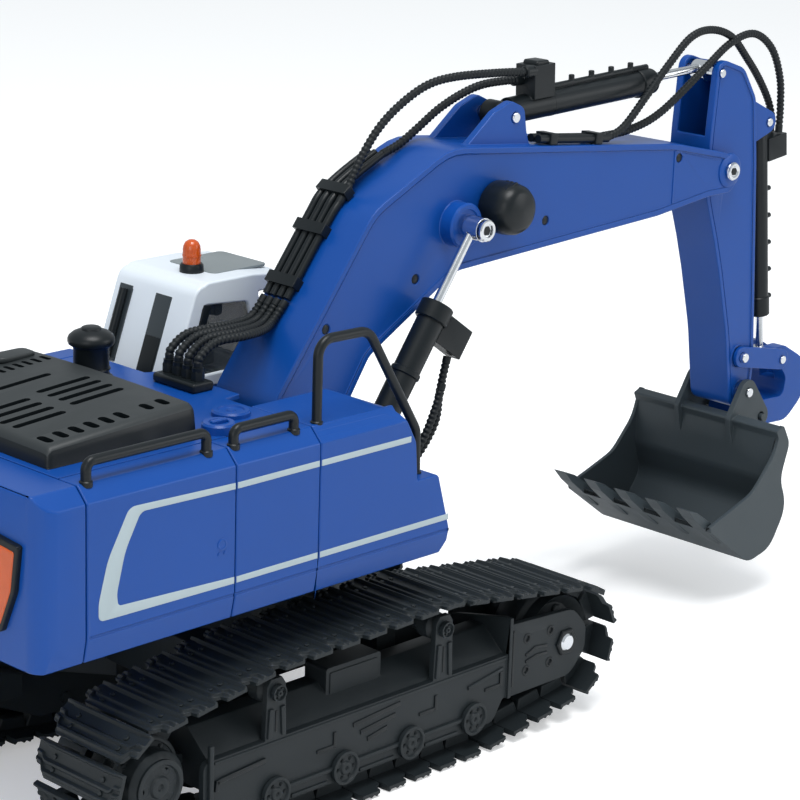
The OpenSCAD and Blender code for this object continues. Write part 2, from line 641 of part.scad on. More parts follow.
// ---- inner works ----
module battery_pack() { color(grey) translate([-140, -30, house_z + floor_t]) cube([58, 60, 26]); }
module control_board() { color([0.1, 0.4, 0.2]) translate([-136, -24, house_z + floor_t + 26]) cube([44, 48, 1.6]); }
module slew_motor() {
    color(chrome) translate([-52, 0, house_z + floor_t]) cylinder(h = 22, r = 10);
}

// ---- boom ----
pivot = [pivot_x, pivot_z];
function boom_points() = fillet([
    [foot_x - 9, foot_z - 13, 8], [foot_x + 18, foot_z - 6, 14], [57, 165, 12], [110, 195, 16],
    [251, 201.5, 40], [290, 206, 20], [pivot_x + 1, pivot_z - 11, 7], [pivot_x + 14, pivot_z + 3, 8],
    [pivot_x - 6, pivot_z + 10, 14], [262, 235.5, 60], [104, 251.5, 34], [57, 229, 30],
    [foot_x - 14, foot_z + 21, 20]], 12);
clevis = [152, 259];
module boom() {
    color(blue) difference() {
        union() {
            difference() {
                plate(-boom_hw, boom_hw) polygon(boom_points());
                for (s = [-1, 1])
                    plate(s * boom_hw - 0.8, s * boom_hw + 0.8) polygon(inset(boom_points(), 3));
                plate(-boom_hw + 0.8 + boom_wall, boom_hw - 0.8 - boom_wall)
                    polygon(inset(boom_points(), boom_wall));
            }
            // foot boss
            pin(foot, -boom_hw, boom_hw, 10);
            // clevis ears for the stick cylinder
            for (s = [-1, 1]) {
                y = s * (boom_hw - 8);
                plate(y - 2, y + 2) polygon(fillet([[116, 246, 0], [163, 243, 0], [160, 252, 2],
                    [clevis[0] + 6, clevis[1] + 4, 5], [clevis[0] - 3, clevis[1] + 8, 5],
                    [clevis[0] - 14, clevis[1] + 4, 6]]));
            }
            // bosses of the boom cylinder heads
            pair() pin(boom_cyl_head, -boom_hw - 5, -boom_hw + 1, 10);
        }
        pin(foot, -60, 60, bore_r + run_fit);
        pin(clevis, -60, 60, 2.5);
        // slot for the stick between the end cheeks
        plate(-stick_hw - side_gap, stick_hw + side_gap)
            polygon([[pivot_x - 30, pivot_z - 40], [pivot_x + 40, pivot_z - 40],
                [pivot_x + 40, pivot_z + 60], [pivot_x - 20, pivot_z + 60],
                [pivot_x - 20, pivot_z], [pivot_x - 30, pivot_z - 12]]);
        pin(pivot, -60, 60, bore_r);
    }
    // pivot pin of the stick with its two heads, and head pins of the cylinders
    color(chrome) {
        pin(pivot, -boom_hw - 1.6, boom_hw + 1.6, bore_r - 0.02);
        for (s = [-1, 1]) {
            y = s * (boom_hw + 1.2);
            pin(pivot, y - 0.8, y + 0.8, 4.6);
        }
        pair() pin(boom_cyl_head, -cyl_y - 6.5, -boom_hw - 4, 3);
        pin(clevis, -boom_hw + 5, boom_hw - 5, 2.48);
    }
}
pipe_r = 1.8;
function pipe_y(i) = 2 + 4.3 * i;
module boom_pipes() {
    color(black) {
        // the first pipe turns up into the outer of the two hoses to the stick cylinder
        hose([[26, pipe_y(0), 191.5], [50, pipe_y(0), 223], [56, pipe_y(0), 229.7]], pipe_r, 1);
        for (i = [1:3])
            hose([[26, pipe_y(i), 191.5], [50, pipe_y(i), 223], [57, pipe_y(i), 231.5],
                [68, pipe_y(i), 238.5], [86, pipe_y(i), 247]], pipe_r, 1);
    }
}
module boom_hoses() {
    color(black) {
        hose([[56, 2, 229.7], [62, 2, 237], [68, 2, 247], [78, 1.5, 259.5], [90, 0.5, 269], [105, -1, 276.5],
            [121, -2.5, 279], [147, -3.5, 278.5], [169.8, -3.5, 277]], hose_r, 2);
        hose([[86, pipe_y(1), 247], [97, pipe_y(1), 250.5], [108, 6, 256.5], [120, 5.5, 263.5], [134, 5, 269],
            [148, 4, 272.3], [169.8, 3.5, 272.5]], hose_r, 2);
    }
}
module work_lamps() {
    color(black) pair() translate([134, -boom_hw, 222]) rotate([90, 0, 0])
        revolve([[0, -0.8], [11, 0], [11.5, 4], [11.5, 14], [9, 17], [0, 17]]);
}

// ---- cylinders ----
module in_line(p, q) { translate([p[0], 0, p[1]]) rotate([0, -heading(p, q), 0]) children(); }
module tube_along(r, bore, x0, x1) {
    difference() {
        translate([x0, 0, 0]) rotate([0, 90, 0]) cylinder(h = x1 - x0, r = r);
        translate([x0 + 4, 0, 0]) rotate([0, 90, 0]) cylinder(h = x1 - x0, r = bore);
    }
}
boom_gland = 95;
boom_open = 1.65;
boom_lift = 1.4;
module boom_barrels() {
    color(black) pair() translate([0, -cyl_y, 0]) difference() {
        in_line(boom_cyl_foot, boom_cyl_head) union() {
            tube_along(boom_barrel_r, boom_rod_r + boom_open, 6, boom_gland);
            rotate([90, 0, 0]) translate([0, 0, -5]) cylinder(h = 10, r = 6.5);
            // port block near the top
            translate([boom_gland - 15, -4, -24]) cube([14, 8, 19]);
        }
        pin(boom_cyl_foot, -10, 10, 3 + run_fit);
        in_line(boom_cyl_foot, boom_cyl_head)
            translate([11, 0, 0]) rotate([0, 90, 0]) cylinder(h = 100, r = boom_rod_r + boom_open);
    }
}
boom_len = norm(boom_cyl_head - boom_cyl_foot);
boom_rod_in = 66;
module boom_rods() {
    color(chrome) pair() translate([0, -cyl_y, 0]) difference() {
        in_line(boom_cyl_foot, boom_cyl_head) union() {
            translate([boom_len - boom_rod_in - 4, 0, boom_lift]) rotate([0, 90, 0])
                cylinder(h = boom_rod_in, r = boom_rod_r);
            translate([boom_len, 5.5, 0]) rotate([90, 0, 0]) cylinder(h = 11, r = 5.4);
        }
        pin(boom_cyl_head, -10, 10, 3 + run_fit);
    }
}
stick_head = [302, 265];
stick_len = norm(stick_head - clevis);
stick_gland = 110;
stick_open = 2.8;
stick_lift = 1.4;            // the rod runs this far above the barrel's axis at rest
module stick_barrel() {
    color(black) difference() {
        in_line(clevis, stick_head) union() {
            tube_along(stick_barrel_r, stick_rod_r + stick_open, 8, stick_gland);
            rotate([90, 0, 0]) translate([0, 0, -4.5]) cylinder(h = 9, r = 6.2);
            translate([4, -4.5, -3]) cube([8, 9, 6]);
            translate([20, -6, stick_barrel_r - 2]) cube([14, 12, 15.5]);
            // pipe with studs along the top
            translate([33, 0, stick_barrel_r + 1]) rotate([0, 90, 0]) cylinder(h = 74, r = 1.5);
            for (i = [0:4]) translate([38 + 14.2 * i, 0, stick_barrel_r - 0.5]) cylinder(h = 5.3, r = 1.4);
        }
        pin(clevis, -10, 10, 2.5 + run_fit);
        in_line(clevis, stick_head)
            translate([13, 0, 0]) rotate([0, 90, 0]) cylinder(h = 110, r = stick_rod_r + stick_open);
    }
}
stick_rod_in = 91;
module stick_rod() {
    color(chrome) difference() {
        in_line(clevis, stick_head) union() {
            translate([stick_len - stick_rod_in - 4, 0, stick_lift]) rotate([0, 90, 0])
                cylinder(h = stick_rod_in, r = stick_rod_r);
            translate([stick_len, 4, 0]) rotate([90, 0, 0]) cylinder(h = 8, r = 5);
        }
        pin(stick_head, -10, 10, 2.2 + run_fit);
    }
}

// ---- stick ----
bucket_pivot = [334, 98];
rocker_pivot = [331, 116.5];
link_pin = [365, 109.5];
bucket_link = [346, 83];
bucket_cyl_top = [350, 235];
function stick_points() = fillet([
    [325.5, 89.5, 7.8], [342.5, 89.5, 7.8], [344, 112, 20], [335, 217, 30], [331, 250, 10],
    [320, 266, 10], [299, 273, 6], [296, 236, 60], [295, 206, 30], [308, 171, 200],
    [319, 130, 60]], 12);
module stick() {
    color(blue) difference() {
        union() {
            difference() {
                plate(-stick_hw, stick_hw) polygon(stick_points());
                for (s = [-1, 1])
                    plate(s * stick_hw - 0.6, s * stick_hw + 0.6) polygon(inset(stick_points(), 2.6));
                plate(-stick_hw + 0.6 + stick_wall, stick_hw - 0.6 - stick_wall)
                    polygon(inset(stick_points(), stick_wall));
            }
            for (b = [[pivot, 7], [bucket_pivot, 5.2], [rocker_pivot, 5.6]])
                pin(b[0], -stick_hw + 0.2, stick_hw - 0.2, b[1]);
            // lug of the bucket cylinder
            for (s = [-1, 1])
                plate(s * 6 - 1.5, s * 6 + 1.5) polygon(belt_outline([[330, 226, 3],
                    [bucket_cyl_top[0], bucket_cyl_top[1], 5.6], [328, 248, 3]]));
        }
        // open top for the rod of the stick cylinder
        plate(-stick_hw + 4, stick_hw - 4)
            polygon([[280, 234], [306, 234], [312, 256], [310, 290], [280, 290]]);
        pin(pivot, -60, 60, bore_r + run_fit);
        pin(stick_head, -60, 60, 2.2);
        pin(bucket_pivot, -60, 60, 2.5);
        pin(rocker_pivot, -60, 60, 2.5);
        pin(bucket_cyl_top, -60, 60, 2.2);
    }
    color(chrome) {
        pin(stick_head, -stick_hw - 1, stick_hw + 1, 2.18);
        pin(bucket_cyl_top, -8.5, 8.5, 2.18);
        pin(bucket_pivot, -19.5, 19.5, 2.48);
        pin(rocker_pivot, -17.5, 17.5, 2.48);
    }
}

// ---- bucket and its linkage ----
ear_in = 15.2;
ear_t = 3;
function bucket_back() = fillet([
    [327, 88, 2], [333, 78, 8], [327, 60, 14], [334, 44, 16], [322, 24, 14], [304, 20, 12],
    [272, 43, 0], [271, 46, 0], [302, 24.5, 8], [316, 27, 10], [328, 43, 10], [322, 59, 12],
    [323, 82, 3], [321, 86, 1]], 12);
function bucket_side() = fillet([
    [327, 88, 2], [333, 78, 8], [327, 60, 14], [334, 44, 16], [322, 24, 14], [304, 20, 12],
    [272, 43, 0], [271, 46, 0], [284, 50, 10], [305, 57, 20], [320, 73, 20], [325, 88, 1]], 12);
module bucket() {
    color(grey) difference() {
        union() {
            plate(-bucket_hw, bucket_hw) polygon(bucket_back());
            for (s = [-1, 1]) {
                y = s * (bucket_hw - bucket_t / 2);
                plate(y - bucket_t / 2, y + bucket_t / 2) polygon(bucket_side());
                ye = s * (ear_in + ear_t / 2);
                plate(ye - ear_t / 2, ye + ear_t / 2) polygon(belt_outline([[326, 70, 3], [330, 70, 3],
                    [bucket_link[0], bucket_link[1], 6], [bucket_pivot[0], bucket_pivot[1], 6.5],
                    [321, 86, 2]]));
            }
            // teeth on the lip
            for (i = [0:bucket_teeth - 1]) {
                y = -bucket_hw + 7 + i * (2 * bucket_hw - 14) / (bucket_teeth - 1);
                plate(y - 4, y + 4) polygon([[284, 33.5], [262, 51], [256, 57.5], [264, 54.5], [284, 41]]);
            }
        }
        pin(bucket_pivot, -60, 60, 2.5 + run_fit);
        pin(bucket_link, -60, 60, 2.5);
    }
    color(chrome) pin(bucket_link, -ear_in - ear_t - 1.4, ear_in + ear_t + 1.4, 1.6);
}
rocker_t = 2.2;
module rocker() {
    color(blue) difference() {
        for (s = [-1, 1]) {
            y = s * (stick_hw + side_gap + rocker_t / 2);
            plate(y - rocker_t / 2, y + rocker_t / 2) polygon(belt_outline([
                [rocker_pivot[0], rocker_pivot[1], 5.4], [link_pin[0], link_pin[1], 5.4]]));
        }
        pin(rocker_pivot, -60, 60, 2.5 + run_fit);
        pin(link_pin, -60, 60, 2.2);
    }
    color(chrome) pin(link_pin, -stick_hw - 3.8, stick_hw + 3.8, 2.18);
}
link_open = 2.1;
module c_link() {
    hw = stick_hw - 0.4;
    color(blue) difference() {
        plate(-hw, hw) polygon(fillet([
            [link_pin[0] - 6, link_pin[1] - 4, 4], [link_pin[0] - 6, link_pin[1] + 6, 5],
            [link_pin[0] + 6, link_pin[1] + 6, 6], [388, 106, 10], [391, 86, 12], [376, 74, 12],
            [bucket_link[0] - 4, bucket_link[1] - 7, 6], [bucket_link[0] - 7, bucket_link[1] + 5, 6],
            [bucket_link[0] + 8, bucket_link[1] + 6, 3], [372, 88, 4], [374, 98, 6],
            [link_pin[0] + 4, link_pin[1] - 6, 4]]));
        plate(-4.6, 4.6) polygon([[350, 94], [380, 96], [380, 130], [350, 130]]);
        pin(link_pin, -60, 60, 2.2 + run_fit);
        pin(bucket_link, -60, 60, 1.6 + link_open);
    }
}
bucket_cyl_len = norm(link_pin - bucket_cyl_top);
bucket_gland = 104;
bucket_open = 1.1;
bucket_lift = 0.4;
module bucket_barrel() {
    color(black) difference() {
        in_line(bucket_cyl_top, link_pin) union() {
            tube_along(bucket_barrel_r, bucket_rod_r + bucket_open, 7, bucket_gland);
            rotate([90, 0, 0]) translate([0, 0, -4]) cylinder(h = 8, r = 5.4);
            translate([3, -4, -3]) cube([8, 8, 6]);
            // elbow block for the two hoses
            translate([10, -5, 3]) cube([12, 10, 15]);
            // pipe with studs along the front
            translate([21, 0, bucket_barrel_r + 0.8]) rotate([0, 90, 0]) cylinder(h = 80, r = 1.3);
            for (i = [0:4]) translate([38 + 14.6 * i, 0, bucket_barrel_r - 0.5]) cylinder(h = 5, r = 1.3);
        }
        pin(bucket_cyl_top, -10, 10, 2.2 + run_fit);
        in_line(bucket_cyl_top, link_pin)
            translate([12, 0, 0]) rotate([0, 90, 0]) cylinder(h = 110, r = bucket_rod_r + bucket_open);
    }
}
bucket_rod_in = 56;
module bucket_rod() {
    color(chrome) difference() {
        in_line(bucket_cyl_top, link_pin) union() {
            translate([bucket_cyl_len - bucket_rod_in - 3.5, 0, bucket_lift]) rotate([0, 90, 0])
                cylinder(h = bucket_rod_in, r = bucket_rod_r);
            translate([bucket_cyl_len, 4, 0]) rotate([90, 0, 0]) cylinder(h = 8, r = 4.6);
        }
        pin(link_pin, -10, 10, 2.2 + run_fit);
    }
}

// ---- hoses ----
hose_r = 2;
module swing_hoses() {
    color(black) for (i = [0:3]) {
        y = -9 + 6 * i;
        y1 = pipe_y(i);
        hose([[-34, y, deck_z + 9], [-33, y, deck_z + 14], [-24, y, deck_z + 19], [-8, y, deck_z + 19],
            [8, (y + y1) / 2, deck_z + 18], [18, y1, 183], [25.2, y1, 190.4]], hose_r, 2);
    }
}
module stick_hoses() {
    color(black) {
        hose([[213, -10, 243], [236, -10, 244], [259, -10, 250], [291, -9, 267], [314, -7, 278],
            [334, -6, 281], [351, -5, 272], [361, -4, 256], [365, -2.6, 240], [365, -2.6, 227.5]], hose_r, 2);
        hose([[213, -14.6, 243], [226, -14.6, 247], [244, -13, 260], [262, -11, 273], [280, -9, 284],
            [298, -7, 286], [316, -6, 281], [334, -3, 268], [350, 1, 256], [361, 2.6, 244],
            [365, 2.6, 235], [365, 2.6, 227.5]], hose_r, 2);
    }
}
module cylinder_hoses() {
    color(black) pair() {
        hose([[94, -30, 161], [90, -30, 146], [88, -29, 130], [76, -26, 113], [58, -22, 105],
            [40.3, -20.9, 104]], hose_r, 2);
    }
}

// The row's origin is on the ground under the middle of the whole object.
slew_x = -106;
translate([slew_x, 0, 0]) {
    center_frame();
    side_frame("right");  // side_frame_right
    side_frame("left");  // side_frame_left
    track_chain("right");  // track_chain_right
    track_chain("left");  // track_chain_left
    track_motors();
    slew_ring();
    sprocket("right");  // sprocket_right
    sprocket("left");  // sprocket_left
    idler("right");  // idler_right
    idler("left");  // idler_left
    roller("right", 0);  // roller_right_1
    roller("right", 1);  // roller_right_2
    roller("right", 2);  // roller_right_3
    roller("right", 3);  // roller_right_4
    roller("left", 0);  // roller_left_1
    roller("left", 1);  // roller_left_2
    roller("left", 2);  // roller_left_3
    roller("left", 3);  // roller_left_4
    carrier("right", 0);  // carrier_right_1
    carrier("right", 1);  // carrier_right_2
    carrier("left", 0);  // carrier_left_1
    carrier("left", 1);  // carrier_left_2
    house_floor();
    counterweight();
    side_doors();
    deck();
    front_module();
    cab_base();
    hood();
    air_stack();
    handrails();
    fuel_cap();
    hose_manifold();
    tail_lights();
    cab_shell();
    cab_glass();
    cab_interior();
    beacon();
    cab_bar();
    battery_pack();
    control_board();
    slew_motor();
    boom();
    boom_pipes();
    boom_hoses();
    work_lamps();
    boom_barrels();
    boom_rods();
    stick();
    stick_barrel();
    stick_rod();
    bucket();
    rocker();
    c_link();
    bucket_barrel();
    bucket_rod();
    swing_hoses();
    stick_hoses();
    cylinder_hoses();
}
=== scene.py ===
"""Toy excavator: looks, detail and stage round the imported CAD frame."""

import json
import math
from contextlib import contextmanager

import bmesh
import bpy
import numpy as np
from mathutils import Matrix, Vector

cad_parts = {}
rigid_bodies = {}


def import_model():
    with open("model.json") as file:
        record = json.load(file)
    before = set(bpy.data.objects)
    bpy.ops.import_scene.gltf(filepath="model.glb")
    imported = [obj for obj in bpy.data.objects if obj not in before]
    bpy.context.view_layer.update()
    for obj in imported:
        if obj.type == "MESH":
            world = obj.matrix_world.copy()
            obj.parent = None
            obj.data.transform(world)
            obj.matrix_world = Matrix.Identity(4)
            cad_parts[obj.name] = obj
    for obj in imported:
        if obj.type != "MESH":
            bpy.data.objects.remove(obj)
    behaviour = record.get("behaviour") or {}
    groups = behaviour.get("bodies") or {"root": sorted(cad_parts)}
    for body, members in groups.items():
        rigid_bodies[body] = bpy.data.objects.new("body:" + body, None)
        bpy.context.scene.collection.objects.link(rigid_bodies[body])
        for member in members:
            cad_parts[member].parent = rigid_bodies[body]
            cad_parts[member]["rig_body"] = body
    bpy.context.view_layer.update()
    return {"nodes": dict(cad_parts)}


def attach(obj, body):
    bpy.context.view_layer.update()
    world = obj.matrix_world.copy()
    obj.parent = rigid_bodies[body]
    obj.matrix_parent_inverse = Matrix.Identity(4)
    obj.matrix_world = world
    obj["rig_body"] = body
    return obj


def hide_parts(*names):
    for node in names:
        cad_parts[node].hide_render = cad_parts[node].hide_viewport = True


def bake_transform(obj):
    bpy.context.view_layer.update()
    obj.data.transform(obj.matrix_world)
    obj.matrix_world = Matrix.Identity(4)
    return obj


bl_info = {
    "name": "Toy Excavator Dresser",
    "version": (1, 0, 0),
    "blender": (4, 5, 0),
    "location": "View3D > Sidebar > Excavator",
    "description": "Builds the detailed pieces, finishes and stage of the toy excavator",
    "category": "Object",
}

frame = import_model()
NODES = frame["nodes"]
MM = 0.001
# The pieces are drawn in mm with the slew axis at x = 0, which is here in the frame.
SLEW_X = -0.106
SIDES = ("right", "left")
UP, OUT = (0, 0, 1), (0, -1, 0)
# Edges sharper than this, in degrees, stay sharp and get a bevel.
SHARP = 35
# Islands of a node that are slimmer than this, in m, are its pins.
PIN_WIDTH = 0.012
# Points closer than this, in m, are merged, and flatter edges than this, in degrees, are dissolved.
MERGE, FLAT = 1e-6, 0.6
# Keeps the inset of a sharp corner from shooting out.
MITRE_LIMIT = 0.6


# ---------------------------------------------------------------- properties
def colour_field(name, description, value):
    return bpy.props.FloatVectorProperty(name=name, description=description, subtype="COLOR",
                                         default=value, min=0, max=1)


def number_field(name, description, value, low, high):
    return bpy.props.FloatProperty(name=name, description=description, default=value,
                                   min=low, max=high)


class ExcavatorColours(bpy.types.PropertyGroup):
    house: colour_field("House blue", "Moulded blue of the house and boom", (0.003, 0.062, 0.31))
    frame: colour_field("Frame black", "Dark plastic of the undercarriage", (0.014, 0.019, 0.022))
    trim: colour_field("Trim black", "Black of cylinders, rails and hoses", (0.006, 0.009, 0.011))
    hood: colour_field("Hood grey", "Dark grey of the engine hood", (0.018, 0.023, 0.025))
    cab: colour_field("Cab white", "Off-white of the cab shell", (0.72, 0.78, 0.84))
    stripe: colour_field("Stripe grey", "Pale grey of the ornamental side stripe",
                         (0.42, 0.50, 0.53))
    bucket: colour_field("Bucket grey", "Dark grey of the bucket", (0.045, 0.058, 0.066))
    orange: colour_field("Signal orange", "Orange of the beacon and tail lights",
                         (0.56, 0.078, 0.003))


class ExcavatorSizes(bpy.types.PropertyGroup):
    edge: number_field("Edge radius", "Rounding of the moulded edges, in mm", 0.5, 0.1, 1.5)
    rib_pitch: number_field("Rib pitch", "Distance between the ribs of a hose, in mm", 2.2, 1.5, 5)
    hose_radius: number_field("Hose radius", "Outer radius of a hose, in mm", 2.0, 1, 3)
    key_power: number_field("Key light", "Power of the main soft light, in watts", 26, 0, 200)


def colours():
    return bpy.context.scene.excavator_colours


def sizes():
    return bpy.context.scene.excavator_sizes


# ------------------------------------------------------------- shader maths
class Sock:
    """A shader socket whose operators add Math nodes."""

    def __init__(self, nodes, socket):
        self.nodes = nodes
        self.socket = socket

    def math(self, operation, *values):
        return self.nodes.node("ShaderNodeMath", {"operation": operation}, dict(enumerate(values)))

    def __add__(self, other):
        return self.math("ADD", self, other)

    def __mul__(self, other):
        return self.math("MULTIPLY", self, other)


class Nodes:
    """A node tree that is built up from sockets."""

    def __init__(self, tree):
        self.tree = tree
        self.tree.nodes.clear()

    def node(self, kind, settings=None, values=None, output=0):
        node = self.tree.nodes.new(kind)
        for key, value in (settings or {}).items():
            setattr(node, key, value)
        for key, value in (values or {}).items():
            if isinstance(value, Sock):
                self.tree.links.new(value.socket, node.inputs[key])
            else:
                node.inputs[key].default_value = value
        return Sock(self, node.outputs[output])

    def output(self, shader, kind="ShaderNodeOutputMaterial"):
        out = self.tree.nodes.new(kind)
        self.tree.links.new(shader.socket, out.inputs["Surface"])


class Paint(Nodes):
    """One procedural material, on object coordinates."""

    def __init__(self, name):
        self.material = bpy.data.materials.new(name)
        self.material.use_nodes = True
        super().__init__(self.material.node_tree)
        self.coords = self.node("ShaderNodeTexCoord", output="Object")

    def noise(self, scale, detail=2.0, rough=0.5):
        return self.node("ShaderNodeTexNoise", {}, {
            "Vector": self.coords, "Scale": scale, "Detail": detail, "Roughness": rough})

    def blend(self, factor, one, two):
        return self.node("ShaderNodeMix", {"data_type": "RGBA"},
                         {0: factor, 6: one, 7: two}, output=2)

    def bump(self, height, distance, strength=1.0):
        return self.node("ShaderNodeBump", {},
                         {"Height": height, "Distance": distance, "Strength": strength})

    def finish(self, **values):
        shader = self.node("ShaderNodeBsdfPrincipled", {}, {
            key.replace("_", " "): value for key, value in values.items()})
        self.output(shader)
        return self.material


def shade(colour, gain):
    """The colour made lighter or darker, with its alpha."""
    return tuple(min(1.0, c * gain) for c in colour) + (1.0,)


MATERIALS = {}


def once(make):
    """Makes each named material once, on a Paint of its own."""
    def made(name, *settings):
        if name not in MATERIALS:
            MATERIALS[name] = make(Paint(name), *settings)
        return MATERIALS[name]
    return made


@once
def moulded(paint, colour, rough, grain, depth, spread, coat=0.0, shine=0.3):
    """Moulded plastic: slow tint drift, cloudy gloss and a fine pebbled grain."""
    drift = paint.noise(22.0, 3.0)
    fine = paint.noise(grain, 2.0, 0.6)
    return paint.finish(
        Base_Color=paint.blend(drift, shade(colour, 1 - spread), shade(colour, 1 + spread)),
        Roughness=paint.noise(60.0, 4.0) * 0.16 + (rough - 0.08),
        Normal=paint.bump(fine, depth, 0.6),
        Coat_Weight=coat, Coat_Roughness=0.25, Specular_IOR_Level=shine)


@once
def polished(paint, colour, rough):
    """Plated rod: bright metal with faint draw lines and smudges."""
    smudge = paint.noise(150.0, 4.0)
    fine = paint.noise(1800.0, 1.0)
    return paint.finish(
        Base_Color=paint.blend(smudge, shade(colour, 0.88), shade(colour, 1.0)),
        Metallic=1.0, Roughness=smudge * 0.14 + rough,
        Normal=paint.bump(fine, 0.000008, 0.5))


@once
def tinted(paint, colour, alpha):
    """Clear tinted plastic with a gloss surface."""
    haze = paint.noise(90.0, 2.0)
    material = paint.finish(
        Base_Color=paint.blend(haze, shade(colour, 0.92), shade(colour, 1.05)),
        Roughness=haze * 0.05 + 0.04, Alpha=alpha)
    material.surface_render_method = "BLENDED"
    return material


@once
def signal(paint, colour):
    """Translucent signal plastic, a little bright at heart."""
    cloud = paint.noise(120.0, 3.0)
    return paint.finish(
        Base_Color=paint.blend(cloud, shade(colour, 0.9), shade(colour, 1.1)),
        Roughness=cloud * 0.1 + 0.18, Coat_Weight=0.4, Coat_Roughness=0.1,
        Subsurface_Weight=0.08, Subsurface_Scale=0.003)


# Maker, colour (a property's name or a fixed one) and the maker's settings of each finish.
FINISHES = {
    "moulded_blue": (moulded, "house", 0.34, 1400.0, 0.000012, 0.06, 0.08),
    "frame_black": (moulded, "frame", 0.52, 700.0, 0.00004, 0.14),
    "track_black": (moulded, "frame", 0.48, 500.0, 0.00006, 0.22),
    "trim_black": (moulded, "trim", 0.36, 1200.0, 0.00002, 0.12),
    "hose_black": (moulded, "trim", 0.5, 1500.0, 0.00002, 0.15),
    "hood_grey": (moulded, "hood", 0.5, 1000.0, 0.00004, 0.08, 0.0, 0.5),
    "cab_white": (moulded, "cab", 0.38, 1500.0, 0.00001, 0.03, 0.15),
    "stripe_grey": (moulded, "stripe", 0.42, 1500.0, 0.00001, 0.04),
    "dark_glass": (moulded, (0.035, 0.045, 0.052), 0.2, 400.0, 0.000006, 0.1, 0.2),
    "skylight_grey": (moulded, (0.20, 0.23, 0.24), 0.3, 900.0, 0.00001, 0.06),
    "bucket_grey": (moulded, "bucket", 0.42, 800.0, 0.00003, 0.12),
    "signal_orange": (signal, "orange"),
    "rod_chrome": (polished, (0.80, 0.82, 0.85), 0.12),
    "cab_glass": (tinted, (0.06, 0.075, 0.085), 0.55),
}


def look(name):
    """The material of a finish."""
    make, colour, *settings = FINISHES[name]
    if isinstance(colour, str):
        colour = tuple(getattr(colours(), colour))
    return make(name, colour, *settings)


# ---------------------------------------------------------------- surfaces
def ring_faces(nu, nv, loop=False):
    """Faces over nu rings of nv points: capped at the ends, or looped from last to first."""
    a, b = np.meshgrid(np.arange(nu if loop else nu - 1), np.arange(nv), indexing="ij")
    c, d = (a + 1) % nu, (b + 1) % nv
    quads = np.stack([a * nv + b, c * nv + b, c * nv + d, a * nv + d], -1).reshape(-1, 4)
    faces = [tuple(q) for q in quads]
    if not loop:
        faces += [tuple(range(nv)), tuple(range(nu * nv - 1, (nu - 1) * nv - 1, -1))]
    return faces


def ease(x, a, b):
    """Smooth step from 0 at a to 1 at b."""
    t = np.clip((x - a) / (b - a), 0, 1)
    return t ** 2 * (3 - 2 * t)


def circle(sides, axis):
    """Unit points round an axis, and the axis."""
    x, y, z = axes(axis)
    t = np.linspace(0, 2 * np.pi, sides, endpoint=False)
    return np.cos(t)[:, None] * x + np.sin(t)[:, None] * y, z


def normals(runs):
    """Unit normals on the left of flat directions."""
    runs = runs / np.linalg.norm(runs, axis=1)[:, None]
    return np.stack([-runs[:, 1], runs[:, 0]], 1)


